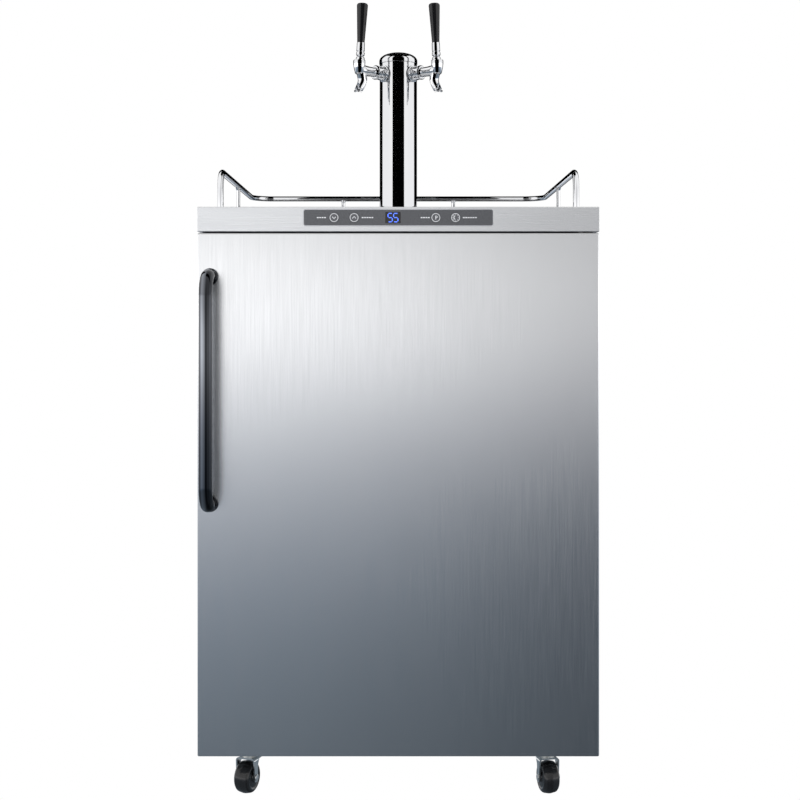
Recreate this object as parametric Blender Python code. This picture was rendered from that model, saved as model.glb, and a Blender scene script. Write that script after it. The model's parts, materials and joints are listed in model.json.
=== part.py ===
"""A free-standing two-tap kegerator on casters: metres, +Z up, the door faces -Y.

The origin is on the floor under the middle of the whole object. Each visible mesh object is one
physical piece; hidden objects are cutters and joined-on shapes for its Boolean modifiers.
"""

from math import atan2, cos, pi, radians, sin, sqrt, tau

import bmesh
import bpy
from mathutils import Matrix, Vector

# Driving dimensions
HALF_WIDTH = 0.300
DOOR_FACE_Y = -0.284
DOOR_BACK_Y = -0.234
CABINET_FRONT_Y = -0.224
CABINET_BACK_Y = 0.310
COVER_BACK_Y = 0.346
DOOR_BOTTOM_Z = 0.077
DOOR_TOP_Z = 0.859
CABINET_BOTTOM_Z = 0.080
CABINET_TOP_Z = 0.8955
DECK_TOP_Z = 0.898
FASCIA_BOTTOM_Z = 0.861
SHEET = 0.001
FIT = 0.0003  # air left between pieces that touch

# Interior
LINER_HALF = 0.255
LINER_WALL = 0.0015
LINER_FLOOR_Z = 0.130
LINER_CEILING_Z = 0.838
LINER_BACK_Y = 0.265
HUMP_FRONT_Y = 0.170
HUMP_TOP_Z = 0.345

# Door hinge pin
HINGE_X, HINGE_Y = 0.284, -0.248
HINGE_PIN_RADIUS = 0.004

# Tap tower
TOWER_Y = 0.016
TOWER_RADIUS = 0.03175
TAP_Z = DECK_TOP_Z + 0.248
TAP_YAWS = {"left": radians(-140), "right": radians(-40)}
TAP_REACH = 0.083
BALL_Z = 0.0175
BALL_RADIUS = 0.0076
LEVER_LEAN = radians(-3)

# Guard rail
RAIL_HALF = 0.272
RAIL_FRONT_Y = DOOR_FACE_Y + 0.050
RAIL_BACK_Y = DOOR_FACE_Y + 0.540
RAIL_Z = DECK_TOP_Z + 0.059
RAIL_RADIUS = 0.00475
POST_RADIUS = 0.00315

# Handle
HANDLE_X = -0.281
HANDLE_RADIUS = 0.010
HANDLE_BAR_Y = DOOR_FACE_Y - 0.052
HANDLE_TOP_Z, HANDLE_BOTTOM_Z = 0.794, 0.455

# Casters
CASTER_X = 0.2275
CASTER_FRONT_Y = DOOR_FACE_Y + 0.085
CASTER_BACK_Y = 0.262
WHEEL_RADIUS = 0.025
WHEEL_HALF = 0.0130
HUB_HALF = 0.0134
CASTER_TRAIL = 0.016
AXLE_RADIUS = 0.003
CASTERS = {
    "front_left": (-CASTER_X, CASTER_FRONT_Y, radians(159)),
    "front_right": (CASTER_X, CASTER_FRONT_Y, radians(192)),
    "rear_left": (-CASTER_X, CASTER_BACK_Y, radians(180)),
    "rear_right": (CASTER_X, CASTER_BACK_Y, radians(180)),
}

# Control panel
PANEL_HALF = 0.1415
PANEL_HALF_HEIGHT = 0.01215
PANEL_Z = DECK_TOP_Z - 0.004 - PANEL_HALF_HEIGHT
BUTTON_RADIUS = 0.0068
BUTTONS = {"colder": -0.096, "warmer": -0.066, "units": 0.056, "deep_chill": 0.0855}

for old in list(bpy.data.objects):
    bpy.data.objects.remove(old, do_unlink=True)


# Materials

def material(name, colour, roughness, metallic=0.0):
    made = bpy.data.materials.new(name)
    made.use_nodes = True
    shader = made.node_tree.nodes["Principled BSDF"]
    shader.inputs["Base Color"].default_value = (*colour, 1)
    shader.inputs["Roughness"].default_value = roughness
    shader.inputs["Metallic"].default_value = metallic
    return made


STEEL = material("brushed_steel", (0.60, 0.61, 0.63), 0.34, 1.0)
CHROME = material("chrome", (0.78, 0.78, 0.80), 0.07, 1.0)
ZINC = material("zinc_plate", (0.62, 0.63, 0.62), 0.35, 1.0)
WRAP = material("dark_painted_steel", (0.05, 0.05, 0.055), 0.4)
FOAM = material("insulation", (0.75, 0.66, 0.42), 0.9)
LINER = material("white_liner", (0.86, 0.87, 0.88), 0.35)
GASKET = material("gasket_grey", (0.20, 0.20, 0.21), 0.6)
PANEL = material("panel_plastic", (0.05, 0.05, 0.06), 0.3)
BUTTON = material("button_plastic", (0.42, 0.43, 0.45), 0.35)
BLACK = material("gloss_black", (0.01, 0.01, 0.011), 0.12)
TREAD = material("caster_tread", (0.015, 0.015, 0.016), 0.25)
HOUSING = material("black_plastic", (0.03, 0.03, 0.03), 0.5)
COIL = material("black_enamel", (0.02, 0.02, 0.02), 0.45)
ALUMINIUM = material("aluminium", (0.72, 0.73, 0.75), 0.4, 1.0)
BRASS = material("brass", (0.72, 0.52, 0.25), 0.25, 1.0)
PLATE = material("floor_plate_plastic", (0.30, 0.31, 0.32), 0.5)
HANDWHEEL = material("handwheel_black", (0.02, 0.02, 0.02), 0.4)


# Making objects

def add(name, bm, mat, parent=None, at=(0, 0, 0), helper=False):
    """The bmesh as an object: a piece, or a hidden helper for a Boolean."""
    bmesh.ops.remove_doubles(bm, verts=bm.verts, dist=1e-7)
    bmesh.ops.recalc_face_normals(bm, faces=bm.faces)
    mesh = bpy.data.meshes.new(name)
    bm.to_mesh(mesh)
    bm.free()
    mesh.shade_smooth()
    mesh.set_sharp_from_angle(angle=radians(35))
    made = bpy.data.objects.new(name, mesh)
    made.location = at
    made.parent = parent
    if mat:
        mesh.materials.append(mat)
    bpy.context.scene.collection.objects.link(made)
    if helper:
        made.hide_render = True
        made.display_type = "WIRE"
    return made


def empty(name, at, yaw=0.0, lean=0.0, parent=None):
    made = bpy.data.objects.new(name, None)
    made.location = at
    made.rotation_euler = (0, lean, yaw)
    made.parent = parent
    bpy.context.scene.collection.objects.link(made)
    return made


def join(piece, *shapes):
    for shape in shapes:
        boolean(piece, shape, "UNION")
    return piece


def cut(piece, *shapes):
    for shape in shapes:
        boolean(piece, shape, "DIFFERENCE")
    return piece


def boolean(piece, shape, operation):
    shape.hide_render = True
    shape.display_type = "WIRE"
    step = piece.modifiers.new(shape.name, "BOOLEAN")
    step.operation = operation
    step.solver = "EXACT"
    step.object = shape


# Shapes

AXES = {
    "X": Matrix(((0, 0, 1), (1, 0, 0), (0, 1, 0))),
    "Y": Matrix(((0, 1, 0), (0, 0, 1), (1, 0, 0))),
    "Z": Matrix.Identity(3),
}


def block_mesh(low, high, bevel=0.0):
    bm = bmesh.new()
    bmesh.ops.create_cube(bm, size=1)
    for vert in bm.verts:
        vert.co = [a + (b - a) * (c + 0.5) for a, b, c in zip(low, high, vert.co)]
    if bevel:
        bmesh.ops.bevel(bm, geom=bm.edges[:], offset=bevel, segments=1, affect="EDGES")
    return bm


def block(name, low, high, mat=None, bevel=0.0, parent=None, at=(0, 0, 0)):
    return add(name, block_mesh(low, high, bevel), mat, parent, at)


def boxes(name, spans, parent=None):
    """Separate boxes in one helper object."""
    bm = bmesh.new()
    for low, high in spans:
        corners = bmesh.ops.create_cube(bm, size=1)["verts"]
        for vert in corners:
            vert.co = [a + (b - a) * (c + 0.5) for a, b, c in zip(low, high, vert.co)]
    return add(name, bm, None, parent, helper=True)


def turned(name, profile, mat=None, sides=24, axis="Z", parent=None, at=(0, 0, 0), ring=False):
    """Turns (radius, height) points about an axis. A ring profile closes on itself."""
    bm = bmesh.new()
    turn = AXES[axis]
    rows = []
    for radius, height in profile:
        count = 1 if radius < 1e-6 else sides
        rows.append([
            bm.verts.new(turn @ Vector((radius * cos(tau * i / sides),
                                        radius * sin(tau * i / sides), height)))
            for i in range(count)
        ])
    pairs = list(zip(rows, rows[1:] + rows[:1])) if ring else list(zip(rows, rows[1:]))
    for lower, upper in pairs:
        for i in range(sides):
            j = (i + 1) % sides
            face = [lower[i % len(lower)], lower[j % len(lower)],
                    upper[j % len(upper)], upper[i % len(upper)]]
            face = [v for k, v in enumerate(face) if v not in face[:k]]
            if len(face) > 2:
                bm.faces.new(face)
    if not ring:
        for row in (rows[0], rows[-1]):
            if len(row) > 1:
                bm.faces.new(row)
    return add(name, bm, mat, parent, at)


def rod(name, start, length, radius, axis="Z", mat=None, sides=16, parent=None):
    """A plain cylinder from its start point along an axis."""
    return turned(name, [(radius, 0), (radius, length)], mat, sides, axis, parent, start)


def prism(name, outline, axis, low, high, mat=None, parent=None, at=(0, 0, 0)):
    """Extrudes a flat outline along an axis. X takes (y, z), Y takes (z, x), Z takes (x, y)."""
    bm = bmesh.new()
    turn = AXES[axis]
    ends = [[bm.verts.new(turn @ Vector((u, v, w))) for u, v in outline] for w in (low, high)]
    for end in ends:
        bm.faces.new(end)
    for i in range(len(outline)):
        j = (i + 1) % len(outline)
        bm.faces.new((ends[0][i], ends[0][j], ends[1][j], ends[1][i]))
    return add(name, bm, mat, parent, at)


def tube(name, path, radius, mat=None, sides=10, parent=None, at=(0, 0, 0)):
    """A round bar along a path, with its end discs square to it. radius may vary per point."""
    path = [Vector(p) for p in path]
    radii = radius if isinstance(radius, (list, tuple)) else [radius] * len(path)
    bm = bmesh.new()
    rings = []
    side = None
    for i, point in enumerate(path):
        ahead = path[min(i + 1, len(path) - 1)] - point
        behind = point - path[max(i - 1, 0)]
        along = (ahead.normalized() + behind.normalized()).normalized()
        if side is None:
            side = along.cross(Vector((0.31, 0.17, 0.93))).normalized()
        side = (side - along * side.dot(along)).normalized()
        up = along.cross(side)
        rings.append([
            bm.verts.new(point + radii[i] * (side * cos(tau * k / sides) + up * sin(tau * k / sides)))
            for k in range(sides)
        ])
    for a, b in zip(rings, rings[1:]):
        for k in range(sides):
            bm.faces.new((a[k], a[(k + 1) % sides], b[(k + 1) % sides], b[k]))
    bm.faces.new(rings[0])
    bm.faces.new(rings[-1])
    return add(name, bm, mat, parent, at)


def bent(corners, bend, steps=4):
    """A path through corners, each rounded to a bend radius. The ends stay sharp."""
    corners = [Vector(c) for c in corners]
    path = [corners[0]]
    for before, corner, after in zip(corners, corners[1:], corners[2:]):
        a, b = (before - corner).normalized(), (after - corner).normalized()
        angle = a.angle(b)
        reach = bend / (sin(angle / 2) / cos(angle / 2))
        centre = corner + (a + b).normalized() * bend / sin(angle / 2)
        start = (corner + a * reach - centre).normalized()
        end = (corner + b * reach - centre).normalized()
        path += [centre + bend * start.slerp(end, k / steps) for k in range(steps + 1)]
    path.append(corners[-1])
    return path


def rounded_outline(half_u, half_v, corner, centre):
    """A rectangle with rounded corners."""
    points, steps = [], 3
    for u, v, start in ((1, 1, 0), (-1, 1, 1), (-1, -1, 2), (1, -1, 3)):
        for k in range(steps + 1):
            angle = (start + k / steps) * pi / 2
            points.append((centre[0] + u * (half_u - corner) + corner * cos(angle),
                           centre[1] + v * (half_v - corner) + corner * sin(angle)))
    return points


# Cabinet

def liner_outline(grow, front):
    """The interior's side view, with the step over the compressor, grown outwards."""
    low, high = LINER_FLOOR_Z - grow, LINER_CEILING_Z + grow
    step_y, step_z, back = HUMP_FRONT_Y + grow, HUMP_TOP_Z - grow, LINER_BACK_Y + grow
    return [(front, low), (step_y, low), (step_y, step_z), (back, step_z), (back, high), (front, high)]


def tower_hole(name, radius, low, high):
    """The passage for the beer lines, from the interior to the tower."""
    return rod(name, (0, TOWER_Y, low), high - low, radius)


def make_cabinet():
    pan_half = HALF_WIDTH - 0.0015
    pan_wall, lip = 0.0012, 0.025
    outline = [(CABINET_BOTTOM_Z, -pan_half), (CABINET_BOTTOM_Z, pan_half),
               (CABINET_BOTTOM_Z + lip, pan_half), (CABINET_BOTTOM_Z + lip, pan_half - pan_wall),
               (CABINET_BOTTOM_Z + pan_wall, pan_half - pan_wall),
               (CABINET_BOTTOM_Z + pan_wall, -pan_half + pan_wall),
               (CABINET_BOTTOM_Z + lip, -pan_half + pan_wall), (CABINET_BOTTOM_Z + lip, -pan_half)]
    prism("base_pan", outline, "Y", CABINET_FRONT_Y + SHEET + FIT, COVER_BACK_Y - 0.004, ZINC)

    wrap = block("cabinet_wrap", (-HALF_WIDTH, CABINET_FRONT_Y, CABINET_BOTTOM_Z),
                 (HALF_WIDTH, CABINET_BACK_Y, CABINET_TOP_Z), WRAP)
    inner = HALF_WIDTH - SHEET
    opening = LINER_HALF + LINER_WALL + FIT
    cut(wrap,
        block("wrap_inside", (-inner, CABINET_FRONT_Y + SHEET, 0.05),
              (inner, 0.4, CABINET_TOP_Z - SHEET)),
        block("wrap_opening", (-opening, CABINET_FRONT_Y - 0.01, LINER_FLOOR_Z - LINER_WALL - FIT),
              (opening, CABINET_FRONT_Y + 0.01, LINER_CEILING_Z + LINER_WALL + FIT)),
        tower_hole("wrap_tower_hole", 0.026, 0.87, 0.91))

    foam_half = pan_half - pan_wall - FIT
    foam_low = (-foam_half, CABINET_FRONT_Y + SHEET + FIT, CABINET_BOTTOM_Z + pan_wall + FIT)
    foam_high = (foam_half, CABINET_BACK_Y - 0.0005, CABINET_TOP_Z - SHEET - FIT)
    foam = block("cabinet_foam", foam_low, foam_high, FOAM)
    cavity = LINER_WALL + FIT
    cut(foam,
        prism("foam_cavity", liner_outline(cavity, -0.3), "X",
              -LINER_HALF - cavity, LINER_HALF + cavity),
        block("foam_machine_space", (-0.225, 0.195, 0.05), (0.225, 0.4, 0.322)),
        tower_hole("foam_tower_hole", 0.024, 0.83, 0.91))

    liner = prism("inner_liner", liner_outline(LINER_WALL, CABINET_FRONT_Y), "X",
                  -LINER_HALF - LINER_WALL, LINER_HALF + LINER_WALL, LINER)
    cut(liner,
        prism("liner_space", liner_outline(0, -0.3), "X", -LINER_HALF, LINER_HALF),
        tower_hole("liner_tower_hole", 0.022, 0.82, 0.85))

    # The rear panel closes the back, with a leg down each side of the machine space
    panel_half, leg_inner, leg_outer = HALF_WIDTH - SHEET - 0.0005, 0.2255, pan_half - pan_wall - 0.0005
    leg_low, pan_rim, space_top = foam_low[2], CABINET_BOTTOM_Z + lip + 0.0005, 0.325
    right = [(space_top, leg_inner), (leg_low, leg_inner), (leg_low, leg_outer), (pan_rim, leg_outer),
             (pan_rim, panel_half), (CABINET_TOP_Z, panel_half)]
    prism("rear_panel", right + [(z, -x) for z, x in reversed(right)], "Y",
          CABINET_BACK_Y + FIT, CABINET_BACK_Y + FIT + SHEET, ZINC)


def make_deck():
    """One folded sheet: the deck, its front fascia with the panel's window, and a bottom return."""
    thick = 0.0012
    pocket_back = CABINET_FRONT_Y - 0.0022
    side_view = [(DOOR_FACE_Y, FASCIA_BOTTOM_Z), (pocket_back, FASCIA_BOTTOM_Z),
                 (pocket_back, CABINET_TOP_Z + FIT), (CABINET_BACK_Y + 0.002, CABINET_TOP_Z + FIT),
                 (CABINET_BACK_Y + 0.002, DECK_TOP_Z), (DOOR_FACE_Y, DECK_TOP_Z)]
    deck = prism("top_deck", side_view, "X", -HALF_WIDTH, HALF_WIDTH, STEEL)
    window = rounded_outline(PANEL_HALF_HEIGHT + FIT, PANEL_HALF + FIT, 0.003, (PANEL_Z, 0))
    cut(deck,
        block("deck_pocket", (-HALF_WIDTH + thick, DOOR_FACE_Y + thick, FASCIA_BOTTOM_Z + thick),
              (HALF_WIDTH - thick, CABINET_FRONT_Y, DECK_TOP_Z - thick)),
        prism("deck_window", window, "Y", DOOR_FACE_Y - 0.01, DOOR_FACE_Y + 0.01),
        tower_hole("deck_tower_hole", 0.026, 0.88, 0.91))

    plate = rounded_outline(PANEL_HALF_HEIGHT, PANEL_HALF, 0.003, (PANEL_Z, 0))
    panel = prism("control_panel", plate, "Y", DOOR_FACE_Y - 0.0003, DOOR_FACE_Y + 0.0017, PANEL)
    block("control_housing", (-0.16, DOOR_FACE_Y + 0.0040, FASCIA_BOTTOM_Z + 0.002),
          (0.16, DOOR_FACE_Y + 0.042, DECK_TOP_Z - thick - 0.0005), HOUSING, bevel=0.001)
    for label, x in BUTTONS.items():
        cut(panel, rod(f"{label}_button_hole", (x, DOOR_FACE_Y - 0.01, PANEL_Z), 0.02,
                       BUTTON_RADIUS + FIT, "Y"))
        turned(f"{label}_button",
               [(BUTTON_RADIUS - 0.0006, -0.0009), (BUTTON_RADIUS, -0.0003), (BUTTON_RADIUS, 0.0020),
                (BUTTON_RADIUS + 0.0012, 0.0020), (BUTTON_RADIUS + 0.0012, 0.0028)],
               BUTTON, 16, "Y", at=(x, DOOR_FACE_Y, PANEL_Z))


def make_interior():
    block("keg_floor_plate", (-0.235, -0.205, LINER_FLOOR_Z + FIT),
          (0.235, 0.160, LINER_FLOOR_Z + 0.0033), PLATE, bevel=0.001)
    plate_y = LINER_BACK_Y - 0.010
    plate = block("evaporator_plate", (-0.130, plate_y - 0.0025, 0.42), (0.240, plate_y, 0.66),
                  ALUMINIUM)
    join(plate, boxes("evaporator_standoffs", [
        ((x - 0.006, plate_y - 0.001, z - 0.006), (x + 0.006, LINER_BACK_Y - FIT, z + 0.006))
        for x in (-0.11, 0.22) for z in (0.44, 0.64)]))

    fan_at = (0.09, 0.232, 0.745)
    half, depth, wall_y = 0.046, 0.025, LINER_BACK_Y - FIT - fan_at[1]
    centre = empty("fan_centre", fan_at)
    struts = [((-0.0445, 0.019, -0.003), (0.0445, 0.024, 0.003)),
              ((-0.003, 0.0192, -0.0445), (0.003, 0.0238, 0.0445))]
    feet = [((x - 0.006, 0.020, z - 0.006), (x + 0.006, wall_y, z + 0.006))
            for x in (-0.036, 0.036) for z in (-0.036, 0.036)]
    frame = block("fan_housing", (-half, 0, -half), (half, depth, half), HOUSING, at=fan_at)
    cut(frame, turned("fan_duct", [(0.0415, -0.01), (0.0415, 0.04)], sides=24, axis="Y", at=fan_at))
    join(frame, turned("fan_motor", [(0.014, 0.017), (0.014, depth)], sides=16, axis="Y", at=fan_at),
         boxes("fan_struts", struts, centre), boxes("fan_feet", feet, centre))

    blades, hub_back = 5, 0.0165
    rotor = turned("fan_blade", [(0, 0.002), (0.014, 0.003), (0.015, 0.005), (0.015, hub_back)],
                   HOUSING, 20, "Y", at=fan_at)
    for k in range(blades):
        bm = block_mesh((0.012, -0.0008, -0.013), (0.0385, 0.0008, 0.013))
        turn = (Matrix.Translation(Vector(fan_at) + Vector((0, 0.0095, 0)))
                @ Matrix.Rotation(tau * k / blades, 4, "Y") @ Matrix.Rotation(radians(32), 4, "X"))
        bmesh.ops.transform(bm, matrix=turn, verts=bm.verts)
        join(rotor, add(f"fan_vane_{k}", bm, None, helper=True))


def make_machine_space():
    pan_top = CABINET_BOTTOM_Z + 0.0012 + FIT
    shell_at = (0.04, 0.270, pan_top)
    shell = turned("compressor", [(0, 0.012), (0.044, 0.018), (0.060, 0.036), (0.063, 0.062),
                                  (0.063, 0.092), (0.058, 0.118), (0.042, 0.138), (0.020, 0.147),
                                  (0, 0.149)], COIL, 24, at=shell_at)
    feet = block("compressor_feet", (-0.085, -0.045, 0), (0.085, 0.045, 0.004), at=shell_at)
    stem = rod("compressor_stem", (0.04, 0.270, pan_top + 0.002), 0.020, 0.035)
    line = [(0.04, 0.270, 0.20), (0.04, 0.270, 0.25), (0.06, 0.270, 0.27)]
    join(shell, feet, stem, tube("compressor_line", line, 0.004, sides=8))

    coil_y, passes, low, pitch, half = 0.321, 9, 0.370, 0.056, 0.225
    corners = []
    for k in range(passes):
        ends = (-half, half) if k % 2 == 0 else (half, -half)
        corners += [(x, coil_y, low + k * pitch) for x in ends]
    coil = tube("condenser", bent(corners, pitch / 2 - 0.0005, 3), 0.0028, COIL, 6)
    strap_low, strap_high = low - 0.01, low + (passes - 1) * pitch + 0.01
    straps = [((x - 0.008, coil_y - 0.0012, strap_low), (x + 0.008, coil_y + 0.0012, strap_high))
              for x in (-0.17, 0, 0.17)]
    join(coil, boxes("condenser_straps", straps))

    front, back = CABINET_BACK_Y + 2 * SHEET + FIT, COVER_BACK_Y - 0.004
    half = 0.285
    cover = block("rear_cover", (-half, front, 0.100), (half, back, 0.872), ZINC)
    slots = []
    for z in [0.125 + 0.020 * k for k in range(9)] + [0.780 + 0.020 * k for k in range(3)]:
        for x in (-0.15, 0.15):
            slots.append(((x - 0.105, back - 0.01, z), (x + 0.105, back + 0.01, z + 0.007)))
    cut(cover,
        block("cover_inside", (-half + SHEET, front - 0.01, 0.09), (half - SHEET, back - SHEET, 0.871)),
        boxes("cover_slots", slots))
    join(cover, turned("cable_gland", [(0.011, -0.002), (0.011, 0.001), (0.008, 0.004)],
                       sides=16, axis="Y", at=(-0.235, back, 0.34)))


def make_gas():
    x, y = -0.195, 0.2165
    base = HUMP_TOP_Z + FIT
    turned("co2_cylinder", [(0.034, 0), (0.041, 0.004), (0.044, 0.012), (0.044, 0.250),
                            (0.040, 0.272), (0.028, 0.290), (0.015, 0.298), (0.013, 0.310)],
           ALUMINIUM, 28, at=(x, y, base))
    valve_z = base + 0.310 + FIT
    valve = turned("cylinder_valve", [(0.0125, 0), (0.0125, 0.008), (0.010, 0.010), (0.010, 0.036),
                                      (0.007, 0.040), (0.007, 0.046)], BRASS, 16, at=(x, y, valve_z))
    join(valve, rod("valve_outlet", (x + 0.004, y, valve_z + 0.023), 0.024, 0.007, "X"))
    turned("valve_handwheel", [(0.012, 0), (0.0165, 0.003), (0.0165, 0.010), (0.011, 0.014),
                               (0, 0.0145)],
           HANDWHEEL, 16, at=(x, y, valve_z + 0.046 + FIT))

    body_x, body_z = x + 0.060, valve_z + 0.023
    body = turned("regulator", [(0.012, -0.020), (0.019, -0.016), (0.019, 0.010), (0.015, 0.014)],
                  BRASS, 20, "Y", at=(body_x, y, body_z))
    join(body,
         rod("regulator_nut", (x + 0.0283, y, body_z), 0.016, 0.0115, "X", sides=6),
         rod("regulator_stem", (x + 0.040, y, body_z), 0.012, 0.006, "X"),
         rod("regulator_riser", (body_x, y, body_z + 0.012), 0.014, 0.005),
         rod("regulator_side", (body_x + 0.012, y, body_z), 0.014, 0.005, "X"),
         rod("gauge_high", (body_x, y - 0.010, body_z + 0.043), 0.018, 0.021, "Y", sides=20),
         rod("gauge_low", (body_x + 0.043, y - 0.010, body_z), 0.018, 0.021, "Y", sides=20),
         rod("gas_barb", (body_x, y, body_z - 0.034), 0.020, 0.0045))
    turned("regulator_knob", [(0.012, -0.016), (0.013, -0.014), (0.015, -0.002), (0.015, 0)],
           HANDWHEEL, 16, "Y", at=(body_x, y - 0.020 - FIT, body_z))


# Door

def make_door():
    pivot = empty("door_pivot", (HINGE_X, HINGE_Y, DOOR_BOTTOM_Z))
    back = DOOR_BACK_Y - 0.004
    bowl_half, bowl_low, bowl_high, bowl_y = 0.235, 0.140, 0.820, -0.255
    skin = block("door_skin", (-HALF_WIDTH, DOOR_FACE_Y, DOOR_BOTTOM_Z),
                 (HALF_WIDTH, back, DOOR_TOP_Z), STEEL)
    inner = HALF_WIDTH - SHEET
    cut(skin,
        block("skin_inside", (-inner, DOOR_FACE_Y + SHEET, DOOR_BOTTOM_Z + SHEET),
              (inner, 0, DOOR_TOP_Z - SHEET)),
        rod("skin_pin_holes", (HINGE_X, HINGE_Y, 0.05), 0.85, HINGE_PIN_RADIUS + 0.0008))
    foam = block("door_foam", (-inner + FIT, DOOR_FACE_Y + SHEET + FIT, DOOR_BOTTOM_Z + SHEET + FIT),
                 (inner - FIT, back, DOOR_TOP_Z - SHEET - FIT), FOAM)
    grow = LINER_WALL + FIT
    cut(foam,
        block("foam_bowl", (-bowl_half - grow, bowl_y - grow, bowl_low - grow),
              (bowl_half + grow, 0, bowl_high + grow)),
        rod("foam_pin_hole_low", (HINGE_X, HINGE_Y, 0.05), 0.050, HINGE_PIN_RADIUS + 0.0008),
        rod("foam_pin_hole_high", (HINGE_X, HINGE_Y, 0.836), 0.050, HINGE_PIN_RADIUS + 0.0008))
    liner = block("door_liner", (-inner, back + FIT, DOOR_BOTTOM_Z + 0.0015),
                  (inner, DOOR_BACK_Y, DOOR_TOP_Z - 0.0015), LINER, bevel=0.001)
    wall = LINER_WALL
    join(liner, block("liner_bowl", (-bowl_half - wall, bowl_y - wall, bowl_low - wall),
                      (bowl_half + wall, DOOR_BACK_Y - 0.002, bowl_high + wall)))
    cut(liner, block("liner_bowl_space", (-bowl_half, bowl_y, bowl_low), (bowl_half, 0, bowl_high)))

    gasket = block("door_gasket", (-0.2735, DOOR_BACK_Y + FIT, 0.1110),
                   (0.2735, CABINET_FRONT_Y - 0.0005, 0.8565), GASKET, bevel=0.002)
    cut(gasket, block("gasket_inside", (-0.2595, -0.3, 0.1250), (0.2595, 0, 0.8425)))

    corners = [(HANDLE_X, DOOR_FACE_Y - FIT, HANDLE_TOP_Z), (HANDLE_X, HANDLE_BAR_Y, HANDLE_TOP_Z),
               (HANDLE_X, HANDLE_BAR_Y, HANDLE_BOTTOM_Z), (HANDLE_X, DOOR_FACE_Y - FIT, HANDLE_BOTTOM_Z)]
    handle = tube("door_handle", bent(corners, 0.030, 4), HANDLE_RADIUS, CHROME, 12)
    for piece in (skin, foam, liner, gasket, handle):
        ride_pivot(piece, pivot)

    hinge_x = (0.270, 0.298)
    top_low, top_high = DOOR_TOP_Z + FIT, FASCIA_BOTTOM_Z - FIT
    top = block("hinge_top", (hinge_x[0], HINGE_Y - 0.010, top_low),
                (hinge_x[1], CABINET_FRONT_Y - FIT, top_high), ZINC)
    join(top,
         block("hinge_top_flange", (hinge_x[0], CABINET_FRONT_Y - 0.0018, top_low + 0.0002),
               (hinge_x[1] - 0.001, CABINET_FRONT_Y - FIT, 0.893)),
         rod("hinge_top_pin", (HINGE_X, HINGE_Y, top_low - 0.018), 0.0185, HINGE_PIN_RADIUS, sides=12))
    low_z = DOOR_BOTTOM_Z - 0.0025
    bottom = block("hinge_bottom", (hinge_x[0], HINGE_Y - 0.010, low_z),
                   (hinge_x[1], -0.185, DOOR_BOTTOM_Z - 0.0005), ZINC)
    join(bottom,
         block("hinge_bottom_step", (hinge_x[0], CABINET_FRONT_Y + 0.002, low_z + 0.0005),
               (hinge_x[1] - 0.001, -0.185, CABINET_BOTTOM_Z - FIT)),
         rod("hinge_bottom_pin", (HINGE_X, HINGE_Y, low_z + 0.001), 0.018, HINGE_PIN_RADIUS, sides=12))


def ride_pivot(piece, pivot):
    """Parents a piece to the pivot and keeps it where it is."""
    piece.parent = pivot
    piece.matrix_parent_inverse = Matrix.Translation(pivot.location).inverted()


# Guard rail and drip tray

def make_guard_rail():
    foot = DECK_TOP_Z + FIT
    corners = [(-RAIL_HALF, RAIL_FRONT_Y, foot), (-RAIL_HALF, RAIL_FRONT_Y, RAIL_Z),
               (-RAIL_HALF, RAIL_BACK_Y, RAIL_Z), (RAIL_HALF, RAIL_BACK_Y, RAIL_Z),
               (RAIL_HALF, RAIL_FRONT_Y, RAIL_Z), (RAIL_HALF, RAIL_FRONT_Y, foot)]
    path = [Vector(corners[0])]
    for k, bend in enumerate((0.027, 0.040, 0.040, 0.027)):
        path += bent(corners[k:k + 3], bend, 4)[1:-1]
    path.append(Vector(corners[-1]))
    rail = tube("guard_rail", path, RAIL_RADIUS, CHROME, 8)
    posts = [(-RAIL_HALF, DOOR_FACE_Y + 0.29), (RAIL_HALF, DOOR_FACE_Y + 0.29),
             (-0.103, RAIL_BACK_Y), (0.103, RAIL_BACK_Y)]
    for k, (x, y) in enumerate(posts):
        join(rail, rod(f"rail_post_{k}", (x, y, foot), RAIL_Z - foot, POST_RADIUS, sides=8))


def tray_outline(inset):
    """A rectangle in front of the tower, notched round the tower's flange, pulled in by inset."""
    half, front, back, notch = 0.150 - inset, -0.150 + inset, -inset, 0.047 + inset
    reach = sqrt(notch ** 2 - (TOWER_Y - back) ** 2)
    start = atan2(back - TOWER_Y, reach)
    steps = 8
    arc = [(notch * cos(start + (-pi - 2 * start) * k / steps),
            TOWER_Y + notch * sin(start + (-pi - 2 * start) * k / steps)) for k in range(steps + 1)]
    return [(-half, front), (half, front), (half, back)] + arc + [(-half, back)]


def make_drip_tray():
    low, high = DECK_TOP_Z + FIT, DECK_TOP_Z + 0.009
    tray = prism("drip_tray", tray_outline(0), "Z", low, high, STEEL)
    cut(tray, prism("tray_space", tray_outline(0.0020), "Z", low + 0.001, high + 0.01))
    grille = prism("drip_grille", tray_outline(0.0024), "Z", high - 0.0030, high - 0.0010, STEEL)
    count, pitch = 15, 0.018
    slots = []
    for k in range(count):
        x = (k - (count - 1) / 2) * pitch
        back = -0.045 if abs(x) < 0.060 else -0.012
        slots.append(((x - 0.003, -0.138, high - 0.01), (x + 0.003, back, high + 0.01)))
    cut(grille, boxes("grille_slots", slots))
    join(grille, boxes("grille_feet", [
        ((x - 0.004, y - 0.004, low + 0.0013), (x + 0.004, y + 0.004, high - 0.002))
        for x in (-0.144, 0.144) for y in (-0.142, -0.016)]))


# Tower and taps

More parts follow.
